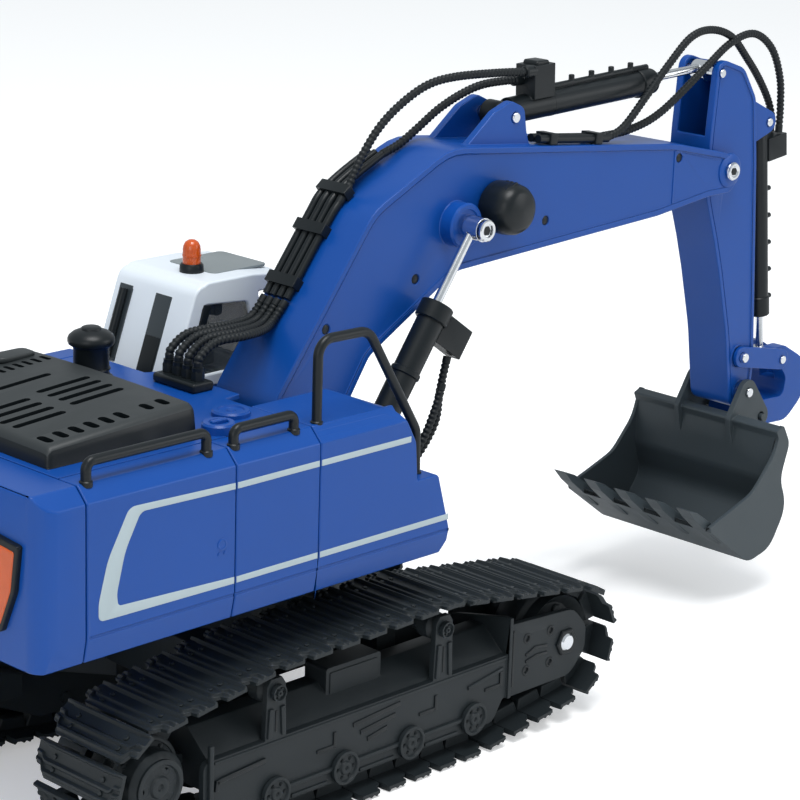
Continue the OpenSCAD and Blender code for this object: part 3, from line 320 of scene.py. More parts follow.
class Shape:
    """Collects surfaces, in mm, and makes one object of them."""

    def __init__(self, flip=False):
        self.flip = flip
        self.points, self.faces, self.mats, self.face_mats = [], [], [], []
        self.count = 0

    def _add(self, points, faces, mat):
        if mat not in self.mats:
            self.mats.append(mat)
        slot = self.mats.index(mat)
        self.points.append(np.asarray(points, float).reshape(-1, 3))
        self.faces += [tuple(int(i) + self.count for i in f) for f in faces]
        self.face_mats += [slot] * len(faces)
        self.count += len(self.points[-1])

    def grid(self, points, mat, loop=False):
        """Rings of points: capped at both ends, or joined from the last to the first."""
        self._add(points, ring_faces(*points.shape[:2], loop), mat)

    def tile(self, rings, places, mat):
        """Copies of one capped shape: u along the run, y across it, h outwards."""
        faces = ring_faces(*rings.shape[:2])
        points = rings.reshape(-1, 3)
        a = places[:, 2]
        u, h = points[None, :, 0], points[None, :, 2]
        out = np.empty((len(places), len(points), 3))
        out[..., 0] = places[:, 0, None] + u * np.sin(a)[:, None] + h * np.cos(a)[:, None]
        out[..., 1] = points[None, :, 1]
        out[..., 2] = places[:, 1, None] - u * np.cos(a)[:, None] + h * np.sin(a)[:, None]
        n = len(points)
        self._add(out, [tuple(i + k * n for i in f) for k in range(len(places)) for f in faces],
                  mat)

    def disc(self, centre, axis, radius, mat, thick, holes, depth):
        """A wheel face: on polar rings, a hub and a rim stand over a web with round holes."""
        r = np.array((0, .1, .14, .2, .3, .36, .42, .48, .54, .6, .66, .72, .78, .83, .88,
                      .96, 1, 1.0))
        t = np.linspace(0, 2 * np.pi, holes * 10, endpoint=False)
        web = ease(r, 0.34, 0.42) * (1 - ease(r, 0.78, 0.84)) + 0.8 * (1 - ease(r, 0.1, 0.16))
        near = np.hypot(r[:, None] * np.sin(t * holes / 2) / (holes / 2), r[:, None] - 0.6)
        h = -depth * (web[:, None] + 1.1 * (1 - ease(near, 0.07, 0.13)))
        h[-2] -= 0.12
        h[-1] = -thick
        ring, z = circle(holes * 10, axis)
        self.grid(np.asarray(centre, float) + radius * r[1:, None, None] * ring[None]
                  + h[1:, :, None] * z, mat)

    def lathe(self, profile, origin, axis, mat, sides=40, loop=False):
        """Radius and height pairs carried once round the axis; a loop is hollow."""
        profile = np.asarray(profile, float)
        ring, z = circle(sides, axis)
        pts = (np.asarray(origin, float) + profile[:, None, :1] * ring[None]
               + profile[:, None, 1:] * z)
        self.grid(pts[::-1], mat, loop)

    def tube(self, path, radius, mat, sides=12):
        """A circle carried along a path; the radius may change from ring to ring."""
        path = np.asarray(path, float)
        tangent = np.gradient(path, axis=0)
        tangent /= np.linalg.norm(tangent, axis=1)[:, None]
        across = abs(tangent[:, 1]).max() >= 0.95
        side = np.cross(tangent, (1.0, 0.02, 0.03) if across else (0.03, 1.0, 0.02))
        side /= np.linalg.norm(side, axis=1)[:, None]
        up = np.cross(side, tangent)
        t = np.linspace(0, 2 * np.pi, sides, endpoint=False)
        r = np.broadcast_to(np.asarray(radius, float), (len(path),))
        self.grid(path[:, None] + r[:, None, None] * (
            np.cos(t)[None, :, None] * side[:, None] + np.sin(t)[None, :, None] * up[:, None]), mat)

    def slab(self, outline, low, high, mat, edge=0.5, axis="y"):
        """A closed outline carried from low to high, with quarter-round edges.

        Each ring is the outline moved inwards along its own normals."""
        outline = np.asarray(outline, float)
        area = 0.5 * np.sum(outline[:, 0] * np.roll(outline[:, 1], -1)
                            - np.roll(outline[:, 0], -1) * outline[:, 1])
        if area < 0:
            outline = outline[::-1]
        ahead = np.roll(outline, -1, 0) - outline
        n = normals(np.roll(ahead, 1, 0)) + normals(ahead)
        n = n * 2 / np.maximum((n * n).sum(1), MITRE_LIMIT)[:, None]
        t = np.linspace(0, np.pi / 2, 4)
        inset, rise = edge * (1 - np.sin(t)), edge * (1 - np.cos(t))
        inset = np.concatenate([inset, inset[::-1]])
        place = np.concatenate([low + rise, high - rise[::-1]])
        flat = outline[None] + inset[:, None, None] * n[None]
        pts = np.zeros(flat.shape[:2] + (3,))
        order = {"y": (0, 2, 1), "x": (1, 2, 0), "z": (0, 1, 2)}[axis]
        pts[..., order[0]] = flat[..., 0]
        pts[..., order[1]] = flat[..., 1]
        pts[..., order[2]] = place[:, None]
        self.grid(pts if axis == "y" else pts[::-1], mat)

    def block(self, low, high, mat, edge=0.5):
        """A rounded box between two corners."""
        (x0, y0, z0), (x1, y1, z1) = low, high
        r = min(edge * 1.6, (x1 - x0) / 2.2, (z1 - z0) / 2.2)
        self.slab(rounded(corners(x0, z0, x1, z1, r)), y0, y1, mat, edge)

    def mesh(self, name):
        mesh = bpy.data.meshes.new(name)
        points = np.concatenate(self.points) * MM
        if self.flip:
            points[:, 1] *= -1
        points[:, 0] += SLEW_X
        mesh.from_pydata(points.tolist(), [], self.faces)
        mesh.polygons.foreach_set("material_index", self.face_mats)
        mesh.update()
        with editing(mesh) as bm:
            bmesh.ops.recalc_face_normals(bm, faces=bm.faces)
        return mesh

    def make(self, name, rider, replaces=(), slot=None):
        """Links the mesh as a piece that rides with a node and may stand for nodes."""
        mesh = self.mesh(name)
        obj = link(name, mesh)
        for mat in self.mats:
            mesh.materials.append(mat)
        smooth(mesh)
        if rider:
            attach(obj, body(rider))
        if replaces:
            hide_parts(*replaces)
        return obj


def link(name, data):
    """A new object in the scene."""
    obj = bpy.data.objects.new(name, data)
    bpy.context.scene.collection.objects.link(obj)
    return obj


@contextmanager
def editing(mesh):
    """The mesh as a bmesh, written back at the end."""
    bm = bmesh.new()
    bm.from_mesh(mesh)
    yield bm
    bm.to_mesh(mesh)
    bm.free()


def smooth(mesh, angle=SHARP):
    mesh.shade_smooth()
    mesh.set_sharp_from_angle(angle=math.radians(angle))


def in_frame(point):
    """A drawing point, in mm, as one of the frame."""
    return Vector(point) * MM + Vector((SLEW_X, 0, 0))


def axes(axis):
    """Two directions square to the axis, and the axis."""
    z = np.asarray(axis, float)
    z = z / np.linalg.norm(z)
    x = np.cross(z, (0, 0, 1) if abs(z[2]) < 0.9 else (1, 0, 0))
    x /= np.linalg.norm(x)
    return x, np.cross(z, x), z


def corners(x0, z0, x1, z1, r):
    """Corners of a rectangle, for rounded."""
    return [(x0, z0, r), (x1, z0, r), (x1, z1, r), (x0, z1, r)]


def rounded(points, step=12):
    """Outline through corners [x, z, radius], with an arc at each."""
    out = []
    for i, (x, z, r) in enumerate(points):
        b = np.array((x, z), float)
        a = np.array(points[i - 1][:2], float)
        c = np.array(points[(i + 1) % len(points)][:2], float)
        if r <= 0:
            out.append(b)
            continue
        u, v = (a - b) / np.linalg.norm(a - b), (c - b) / np.linalg.norm(c - b)
        half = math.acos(np.clip(u @ v, -1, 1)) / 2
        w = (u + v) / np.linalg.norm(u + v)
        m = b + w * r / math.sin(half)
        p, q = b + u * r / math.tan(half) - m, b + v * r / math.tan(half) - m
        a0, a1 = math.atan2(p[1], p[0]), math.atan2(q[1], q[0])
        turn = (a1 - a0 + math.pi) % (2 * math.pi) - math.pi
        k = max(1, math.ceil(abs(math.degrees(turn)) / step))
        t = a0 + turn * np.linspace(0, 1, k + 1)
        out += list(m + r * np.stack([np.cos(t), np.sin(t)], 1))
    return np.array(out)


def smooth_path(points, step):
    """Catmull-Rom curve through the points, with rings an even step apart."""
    p = np.asarray(points, float)
    ext = np.vstack([2 * p[0] - p[1], p, 2 * p[-1] - p[-2]])
    t = np.linspace(0, 1, 24, endpoint=False)[:, None]
    parts = []
    for i in range(len(p) - 1):
        a, b, c, d = ext[i:i + 4]
        parts.append(0.5 * (2 * b + (c - a) * t + (2 * a - 5 * b + 4 * c - d) * t ** 2
                            + (3 * b - a - 3 * c + d) * t ** 3))
    q = np.vstack(parts + [p[-1:]])
    s = np.concatenate([[0], np.cumsum(np.linalg.norm(np.diff(q, axis=0), axis=1))])
    m = max(2, int(s[-1] / step))
    e = np.linspace(0, s[-1], m)
    return np.stack([np.interp(e, s, q[:, k]) for k in range(3)], 1), e


def islands(bm):
    """Groups of joined faces, as lists."""
    left = set(bm.faces)
    groups = []
    while left:
        group, queue = [], [left.pop()]
        while queue:
            face = queue.pop()
            group.append(face)
            for edge in face.edges:
                for other in edge.link_faces:
                    if other in left:
                        left.remove(other)
                        queue.append(other)
        groups.append(group)
    return groups


def soften(node, mat, width=None, pins=None, cut=None):
    """A merged copy of a CAD node with rounded edges, which stands for it.

    Islands as slim as a pin take the pins material; cut is a Shape of cutters."""
    mesh = NODES[node].data.copy()
    mesh.materials.clear()
    with editing(mesh) as bm:
        bmesh.ops.remove_doubles(bm, verts=bm.verts, dist=MERGE)
        if pins:
            for group in islands(bm):
                co = np.array([v.co for f in group for v in f.verts])
                size = co.max(0) - co.min(0)
                for face in group:
                    face.material_index = int(max(size[0], size[2]) < PIN_WIDTH)
    obj = link(node + "_moulding", mesh)
    mesh.materials.append(mat)
    if pins:
        mesh.materials.append(pins)
    if cut:
        carve(obj, cut)
        mesh = obj.data
    with editing(mesh) as bm:
        bmesh.ops.dissolve_limit(bm, angle_limit=math.radians(FLAT), verts=bm.verts,
                                 edges=bm.edges, delimit={"MATERIAL"})
    smooth(mesh)
    bevel = obj.modifiers.new("edge", "BEVEL")
    bevel.width = (width or sizes().edge) * MM
    bevel.segments = 2
    bevel.limit_method = "ANGLE"
    bevel.angle_limit = math.radians(SHARP)
    bevel.use_clamp_overlap = False
    bevel.harden_normals = True
    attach(obj, body(node))
    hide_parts(node)
    return obj


def carve(obj, shape):
    """Takes closed cutters out of a piece, for slots and screw holes."""
    cutter = link("cutter", shape.mesh("cutter"))
    tool = obj.modifiers.new("cut", "BOOLEAN")
    tool.object = cutter
    tool.operation = "DIFFERENCE"
    tool.solver = "EXACT"
    graph = bpy.context.evaluated_depsgraph_get()
    mesh = bpy.data.meshes.new_from_object(obj.evaluated_get(graph))
    obj.modifiers.remove(tool)
    obj.data = mesh
    bpy.data.objects.remove(cutter)


def dress(node, mat):
    """Gives a CAD node that keeps its own mesh a finish."""
    mesh = NODES[node].data
    mesh.materials.clear()
    mesh.materials.append(mat)
    smooth(mesh, 30)


def body(node):
    return NODES[node]["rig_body"]


# -------------------------------------------------------------- operators
# The main camera: place in mm; azimuth, elevation and roll in degrees; focal length in pixels.
CAMERA_AT = (-743.19, -812.88, 472.45)
CAMERA_TURN = (-45.907, 16.166, 1.859)
FOCAL, IMAGE_WIDTH, SENSOR = 2685.4, 800.0, 36.0
# Name, share of the key power, size and place of each lamp; all aim at one point.
LAMPS = (("key", 1.0, 1.1, (-0.3, -0.4, 1.9)),
         ("fill", 0.28, 1.4, (-2.0, -0.9, 0.9)),
         ("side", 0.30, 1.2, (1.3, -1.6, 0.8)))
LAMP_AIM = Vector((-0.05, 0, 0.12))
SKY, SKY_STRENGTH = (0.90, 0.96, 1.0, 1), 0.55
FLOOR_REACH, FLOOR_GLOW = 6.0, 0.36


def camera_matrix():
    az, el, roll = (math.radians(v) for v in CAMERA_TURN)
    back = Vector((math.sin(az) * math.cos(el), -math.cos(az) * math.cos(el), math.sin(el)))
    right = (-back).cross(Vector(UP)).normalized()
    up = right.cross(-back)
    r = math.cos(roll) * right + math.sin(roll) * up
    u = -math.sin(roll) * right + math.cos(roll) * up
    return Matrix.Translation(in_frame(CAMERA_AT)) @ Matrix((r, u, back)).transposed().to_4x4()


class STAGE_OT_build(bpy.types.Operator):
    """Camera, soft studio light and the white floor"""
    bl_idname = "excavator.stage"
    bl_label = "Stage"

    def execute(self, context):
        scene = context.scene
        camera = bpy.data.cameras.new("camera")
        camera.sensor_width = SENSOR
        camera.lens = SENSOR * FOCAL / IMAGE_WIDTH
        camera.clip_end = 50.0
        rig = link("camera", camera)
        rig.matrix_world = camera_matrix()
        scene.camera = rig

        # The camera sees white, and everything else is lit by the pale sky.
        world = bpy.data.worlds.new("studio")
        scene.world = world
        world.use_nodes = True
        nodes = Nodes(world.node_tree)
        seen, through = (nodes.node("ShaderNodeLightPath", output=ray)
                         for ray in ("Is Camera Ray", "Is Transmission Ray"))
        soft = nodes.node("ShaderNodeBackground", {}, {"Color": SKY, "Strength": SKY_STRENGTH})
        white = nodes.node("ShaderNodeBackground", {}, {"Color": (1, 1, 1, 1)})
        nodes.output(nodes.node("ShaderNodeMixShader", {}, {
            0: seen.math("MAXIMUM", seen, through), 1: soft, 2: white}), "ShaderNodeOutputWorld")

        for name, share, size, position in LAMPS:
            data = bpy.data.lights.new(name, "AREA")
            data.shape = "DISK"
            data.size = size
            data.energy = sizes().key_power * share
            aim = LAMP_AIM - Vector(position)
            link(name, data).matrix_world = (Matrix.Translation(position)
                                             @ aim.to_track_quat("-Z", "Y").to_matrix().to_4x4())

        mesh = bpy.data.meshes.new("floor")
        s = FLOOR_REACH
        mesh.from_pydata([(-s, -s, 0), (s, -s, 0), (s, s, 0), (-s, s, 0)], [], [(0, 1, 2, 3)])
        floor = link("floor", mesh)
        paint = Paint("floor_white")
        diffuse = paint.node("ShaderNodeBsdfDiffuse", {}, {"Color": (0.9, 0.9, 0.9, 1)})
        glow = paint.node("ShaderNodeEmission", {}, {
            "Color": (1, 1, 1, 1),
            "Strength": paint.node("ShaderNodeLightPath", output="Is Camera Ray") * FLOOR_GLOW})
        paint.output(paint.node("ShaderNodeAddShader", {}, {0: diffuse, 1: glow}))
        mesh.materials.append(paint.material)
        scene.view_settings.view_transform = "Standard"
        return {"FINISHED"}


# ------------------------------------------------------------ undercarriage
TRACK_Y = -67.0
CHEEK_FACE = -85.8
# Circles that the pitch line of a chain wraps, as x, z and radius.
BELT = ((-58.5, 16.3, 10.8), (58.5, 16.3, 10.8), (118.5, 36.5, 22.66),
        (39.0, 62.5, 8.8), (-58.0, 60.0, 8.8), (-118.5, 36.5, 22.66))
SHOES = 40
ROLLER_X = (-58.5, -19.5, 19.5, 58.5)
ROLLER_Z = 16.3
CARRIERS = ((39.0, 62.5), (-58.0, 60.0))
AXLE = (118.5, 36.5)


def unit(angle):
    return np.stack([np.cos(angle), np.sin(angle)], -1)


def chain_places():
    """x, z and outward angle of each shoe, at even steps along arcs and straight runs."""
    belt = np.array(BELT)
    ahead = np.roll(belt, -1, 0)
    gap = ahead[:, :2] - belt[:, :2]
    far = np.hypot(gap[:, 0], gap[:, 1])
    normal = np.arctan2(gap[:, 1], gap[:, 0]) - np.arccos((belt[:, 2] - ahead[:, 2]) / far)
    before = np.roll(normal, 1)
    arc = belt[:, 2] * ((normal - before) % (2 * np.pi))
    run = np.sqrt(far ** 2 - (belt[:, 2] - ahead[:, 2]) ** 2)
    start = np.concatenate([[0], np.cumsum(arc + run)])
    s = (np.arange(SHOES) + 0.5) * start[-1] / SHOES
    i = np.searchsorted(start, s, side="right") - 1
    t = s - start[i]
    turn = before[i] + np.minimum(t, arc[i]) / belt[i, 2]
    along = np.maximum(t - arc[i], 0)
    at = belt[i, :2] + belt[i, 2, None] * unit(turn) + along[:, None] * unit(turn + np.pi / 2)
    return np.column_stack([at, turn]), start[-1] / SHOES


def add_shoes(shape, mat):
    """Shoe: top h(u) = plate + tall and low crests; its ends narrow to a tongue in front."""
    places, pitch = chain_places()
    half = pitch / 2 - 0.25
    u = np.linspace(-half, half, 31)

    def crest(at, width, high):
        return high / (1 + ((u - at) / width) ** 6)

    top = 4.0 + np.maximum.reduce([crest(half - 0.7, 0.8, 1.5), crest(-0.4, 0.9, 1.25),
                                   crest(-half + 2.6, 0.9, 1.25)])
    top -= 0.5 * np.clip(-u / half - 0.72, 0, 1)
    y = np.array((-25, -24.6, -21.4, -20.2, -19, -16, 16, 19, 20.2, 21.4, 24.6, 25.0))
    low = np.array((0.5, 0.75, 0.92, 1, 1, 1, 1, 1, 1, 0.92, 0.75, 0.5))
    slim = np.array((0.66, 0.69, 0.72, 0.93, 1, 1, 1, 1, 0.93, 0.72, 0.69, 0.66))
    ring_u = np.concatenate([u, [half, -half]])
    ring_h = np.concatenate([top, [2.5, 2.5]])
    pts = np.zeros((len(y), len(ring_u), 3))
    pts[..., 0] = half - (half - ring_u) * slim[:, None]
    pts[..., 1] = y[:, None] + TRACK_Y
    pts[..., 2] = np.where(ring_h > 4, 4 + (ring_h - 4) * low[:, None], ring_h)
    shape.tile(pts, places, mat)
    hexagon = unit(np.arange(6) * np.pi / 3)
    bolt_r = np.array((1.15, 1.15, 0.85))[:, None]
    for bolt_u in (2.7, -2.6):
        for bolt_y in (-14.5, 14.5):
            bolt = np.zeros((3, 6, 3))
            bolt[..., 0] = bolt_u + hexagon[:, 0] * bolt_r
            bolt[..., 1] = TRACK_Y + bolt_y + hexagon[:, 1] * bolt_r
            bolt[..., 2] = np.array((3.9, 4.6, 4.85))[:, None]
            shape.tile(bolt, places, mat)
    rail = np.array(((-half, 3), (-half, 2), (-0.8 * half, -2.5), (0.8 * half, -2.5),
                     (half, 2), (half, 3)))
    for mid in (-10.5, 10.5):
        y = np.array((-2.5, -2.1, 2.1, 2.5))
        small = np.array((0.93, 1, 1, 0.93))
        pair = np.zeros((4, 6, 3))
        pair[..., 0] = rail[:, 0] * small[:, None]
        pair[..., 1] = (TRACK_Y + mid + y)[:, None]
        pair[..., 2] = 3 - (3 - rail[:, 1]) * small[:, None]
        shape.tile(pair, places, mat)


def add_roller(shape, x, z, r, cap, mat):
    """Double-flanged spool of radius r on an axle, with a relief face on its outer cap."""
    waist = 0.72 * r
    shape.lathe([(0, -20), (2.4, -20), (2.4, -15.6), (waist, -15.6), (r, -13.5), (r, -7.5),
                 (waist, -6.5), (waist, 6.5), (r, 7.5), (r, 13.5), (waist, 15.6),
                 (2.4, 15.6), (2.4, 19.3), (0, 19.3)], (x, TRACK_Y, z), OUT, mat)
    shape.disc((x, TRACK_Y - 21.2, z), OUT, cap, mat, thick=2.0, holes=6, depth=0.9)


def add_relief(shape, mat, dark):
    """Ledges, hooks, ribs and bolt plates on the outer cheek of a side frame."""
    f = CHEEK_FACE

    def ledge(points, wide=1.5, out=0.7, edge=0.3, mat=mat):
        p = np.asarray(points, float)
        n = normals(np.gradient(p, axis=0)) * wide / 2
        shape.slab(np.concatenate([p + n, (p - n)[::-1]]), f - out, f + 0.3, mat, edge)

    shape.block((-94.5, f - 1.6, 12), (-92.3, f + 0.4, 47), mat, 0.4)
    # The hooks, slots and lines in dark (the trim black) are painted shade: raised marks made
    # darker than the frame so they read as shaded grooves.
    ledge([(-90, 30.0), (-88, 30.6), (-64, 32.4)], 2.1, 1.1, 0.3, dark)
    ledge([(-90.2, 26.5), (-89.6, 31)], 1.9, 1.1, 0.3, dark)
    for x in (-35, 25, 66):
        ledge([(x, 27.2), (x + 10.5, 27.2)], 1.6, 0.5, 0.2, dark)
        ledge([(x + 10, 26.6), (x + 10, 33.4)], 1.6, 0.6, 0.2, dark)
    for run in ([(-14.4, 33.5), (13.2, 35.7)], [(-10.1, 29.1), (10.4, 31.3)],
                [(-5.9, 24.9), (5.8, 26.9)]):
        ledge(run, 2.0, 0.5, 0.2, dark)
    for x in (-39, 0, 39):
        ledge([(x - 12.5, 17.4), (x + 12.5, 17.4)], 1.7, 1.3)
        ledge([(x - 10, 12.2), (x + 10, 12.2)], 1.5, 0.7)
    ledge([(-91, 38.6), (79, 38.6)], 1.1, 0.5)
    for cx, cz in CARRIERS:
        for s in (-1, 1):
            ledge([(cx + 3.9 * s, 41), (cx + 3.1 * s, cz - 6.6)], 2.2, 0.9)
        # Painted shade: a thin dark line down the middle of each carrier bracket.
        shape.slab([(cx - 0.6, 43), (cx + 0.6, 43), (cx + 0.5, cz - 8), (cx - 0.5, cz - 8)],
                   f - 0.25, f + 0.3, dark, 0.1)
    ledge([(55, 31), (77, 34.5)], 1.6, 0.8)
    x, z = AXLE
    shape.lathe([(4.4, -0.3), (6.6, -0.3), (6.6, 1.0), (6.0, 1.5), (4.8, 1.5), (4.4, 1.1)],
                (x, f + 0.1, z), OUT, dark, 6)
    ledge([(92, 36.6), (98, 39.0), (106, 38.0)], 1.3, 0.5, 0.2, dark)
    ledge([(92, 33.6), (99, 35.0), (106, 34.6)], 1.3, 0.5, 0.2, dark)
    ledge([(83.5, 24), (83.5, 50)], 1.2, 0.5, 0.2, dark)
    for x in (92.5, 108):
        for z in (29.5, 44.5):
            shape.lathe([(0, -1.4), (2.5, -1.4), (2.5, 0.1), (2.1, 0.45), (1.5, 0.45), (1.2, -0.3),
                         (0, -0.3)], (x, f + 0.1, z), OUT, dark, 24)
    shape.slab(rounded(corners(-19, 44.5, 9, 54.8, 1)), -76.5, -75.6, mat, 0.3)


class UNDERCARRIAGE_OT_build(bpy.types.Operator):
    """Frame, chains, rollers, idlers and sprockets"""
    bl_idname = "excavator.undercarriage"
    bl_label = "Undercarriage"

    def execute(self, context):
        black = look("frame_black")
        for side in SIDES:
            left = side == "left"
            soften("side_frame_" + side, black, 0.35)
            relief = Shape(left)
            # The relief's marks in trim black are painted shade for the cheek's grooves.
            add_relief(relief, black, look("trim_black"))
            relief.make("side_frame_relief_" + side, "side_frame_" + side)
            chain = Shape(left)
            add_shoes(chain, look("track_black"))
            chain.make("track_shoes_" + side, "track_chain_" + side, ["track_chain_" + side])
            for kind, places, radius, cap in (
                    ("roller", [(x, ROLLER_Z) for x in ROLLER_X], 8.0, 7.3),
                    ("carrier", CARRIERS, 6.0, 3.6)):
                for i, (x, z) in enumerate(places):
                    node = f"{kind}_{side}_{i + 1}"
                    spool = Shape(left)
                    add_roller(spool, x, z, radius, cap, black)
                    spool.make(node + "_spool", node, [node])
            x, z = AXLE
            wheel = Shape(left)
            wheel.lathe([(0, -20), (3, -20), (3, -15.6), (7, -15.6), (7, -10), (17, -10),
                         (19.8, -13), (19.8, -7.3), (22.4, -6.2), (22.8, -5.6), (22.8, 5.6),
                         (22.4, 6.2), (19.8, 7.3),
                         (19.8, 13), (17, 10), (15.5, 8.6), (9, 8.6), (7, 10), (7, 15.6), (3, 15.6),
                         (3, 18.9), (0, 18.9)], (x, TRACK_Y, z), OUT, black, 72)
            for i in range(5):
                dx, dz = 12.3 * unit(math.radians(72 * i))
                wheel.lathe([(0, 0), (2.4, 0), (2.4, 1.2), (2.0, 1.6), (0, 1.6)],
                            (x + dx, TRACK_Y - 8.2, z + dz), OUT, black, 20)
            wheel.lathe([(0, 18.8), (4, 18.8), (4, 20), (3.2, 20.8), (0, 20.8)],
                        (x, TRACK_Y, z), OUT, look("rod_chrome"), 32)
            wheel.make("idler_wheel_" + side, "idler_" + side, ["idler_" + side])
            soften("sprocket_" + side, black, 0.25)
            face = Shape(left)
            face.disc((-x, TRACK_Y - 19.0, z), OUT, 11.4, black, thick=2.4, holes=9, depth=1.1)
            face.lathe([(0, 0), (17.6, 0), (17.9, 0.4), (17.9, 1.8), (17.2, 2.4), (16.2, 2.4),
                        (15.8, 1.4), (0, 1.4)], (-x, TRACK_Y - 6.4, z), OUT, black, 60)
            for i in range(9):
                dx, dz = 14.6 * unit(math.radians(40 * i + 20))
                face.lathe([(0, 0), (1.0, 0), (1.0, 0.5), (0.7, 0.9), (0, 0.9)],
                           (-x + dx, TRACK_Y - 9.6, z + dz), OUT, black, 12)
            face.make("sprocket_face_" + side, "sprocket_" + side)
        for node, width in (("center_frame", None), ("slew_ring", 0.3), ("track_motors", 0.4)):
            soften(node, black, width)
        return {"FINISHED"}


# -------------------------------------------------------------------- house
WALL_Y = -82.0
DECK_Z = 164.0
RAIL_RADIUS = 2.05
STACK_AT = (-62, 26, DECK_Z)
# Rear lens: its outline as y, z, radius; its middle; its share of the frame's size; x of its parts.
LENS = ((-72.5, 144.5, 1), (-50, 146.5, 2), (-50, 114, 2), (-61.5, 107.5, 2), (-69.8, 126, 8))
LENS_Y, LENS_Z, LENS_WIDE, LENS_HIGH = -61, 128, 0.84, 0.86
LENS_BACK, LENS_FRAME, LENS_FACE = -173.6, -176.6, -177.1


def add_stripe(shape, mat, front):
    """Pale band let into the wall, parted at the door seams."""
    low, high = WALL_Y - 0.22, WALL_Y + 0.3
    hook = [(-78.5, 151.2, 0), (-131.5, 152.8, 5), (-142, 134, 30), (-146.3, 118, 14),
            (-146.3, 110.8, 2.4), (-138, 110.6, 0), (-78.5, 110.0, 0), (-78.5, 112.7, 0),
            (-137, 114.9, 2), (-137.6, 120, 10), (-133.6, 136, 30), (-126, 149.9, 4),
            (-78.5, 148.7, 0)]
    shape.slab(rounded(hook, 6), low, high, mat, 0.12)
    bands = [(-77.2, -33.6, 148.65), (-77.2, -33.6, 110.05), (-32.2, 42.5 if front else 46, 109.95)]
    if front:
        bands.append((-32.2, 18.5, 148.6))
    for x0, x1, z in bands:
        shape.slab([(x0, z), (x1, z), (x1, z + 2.5), (x0, z + 2.5)], low, high, mat, 0.12)


def crease(low_x, high_x):
    """Cutters for the fine groove low on both side walls."""
    shape = Shape()
    for y in (-82.6, 81.55):
        shape.block((low_x, y, 104.75), (high_x, y + 1.05, 105.45), look("trim_black"), 0.05)
    return shape


def add_hood(shape, mat):
    """Hood: the skirts lean in from y = 55 to 52.9, and the top has a slight crown.

    A ring of the section is carried from the rear to the front, lower at the rear."""
    x = np.array((-148.4, -148.2, -147.6, -146.6, -145.2, -100, -77.4, -76, -75.1, -74.6, -74.5))
    drop = np.array((10.6, 5.4, 2.8, 1.2, 0.3, 0, 0, 0.4, 1.4, 3.4, 9.0))
    inset = np.array((1.6, 0.7, 0.3, 0.1, 0, 0, 0, 0.1, 0.3, 0.8, 1.4))
    rear = np.interp(x, (-147, -76), (4.6, 0))
    y = np.array((55, 54.8, 54.2, 53.6, 52.9, 51.9, 50.4, 40, 25, 10, 0))
    z = np.array((164.1, 165, 171, 174.2, 175.5, 176.2, 176.5, 176.8, 177.1, 177.3, 177.3))
    y = np.concatenate([-y, y[-2::-1]])
    z = np.concatenate([z, z[-2::-1]])
    low, full = z.min(), z.max() - z.min()
    pts = np.zeros((len(x), len(y), 3))
    pts[..., 0] = x[:, None]
    pts[..., 1] = np.sign(y) * (np.abs(y)[None] - np.where(np.abs(y) > 40, inset[:, None], 0))
    pts[..., 2] = np.maximum(low, low + (z - low)[None] * ((full - drop - rear) / full)[:, None])
    shape.grid(pts, mat)


def hood_slots(mat):
    """Cutters of the louvres: two banks of long ones and rows of short ones."""
    shape = Shape()

    def slot(x0, x1, y0, y1):
        r = min(x1 - x0, y1 - y0) / 2 - 0.01
        shape.slab(rounded(corners(x0, y0, x1, y1, r), 30), 168.4, 182, mat, 0.05, "z")

    for i in range(4):
        slot(-110.5, -84, -1.6 - 7.0 * i, 1.8 - 7.0 * i)
        slot(-144 + 0.6 * i, -117, -5.3 - 7.4 * i, -1.9 - 7.4 * i)
    slot(-119, -92, 13.4, 16.8)
    slot(-141, -124, 10.4, 13.8)
    for i in range(6):
        slot(-143.6 + 7.4 * i, -139.9 + 7.4 * i, -49, -40.6)
    for i in range(2):
        slot(-93.4 + 8 * i, -89.7 + 8 * i, -48, -40.4)
    for i in range(6):
        slot(-104 + 4.6 * i, -101.8 + 4.6 * i, 30.5, 37.5)
    return shape


def add_rail(shape, bends, mat, y=-74.0):
    """Round rail bent through x, z, radius corners, with a collar at each foot."""
    path = rounded(bends, 9)
    pts = np.column_stack([path[:, 0], np.full(len(path), y), path[:, 1]])
    shape.tube(pts, RAIL_RADIUS, mat, 16)
    for x, z in (bends[0][:2], bends[-1][:2]):
        shape.lathe([(0, -1.5), (2.6, -1.5), (2.6, 0.5), (2.1, 0.9), (0, 0.9)], (x, y, z),
                    UP, mat, 20)


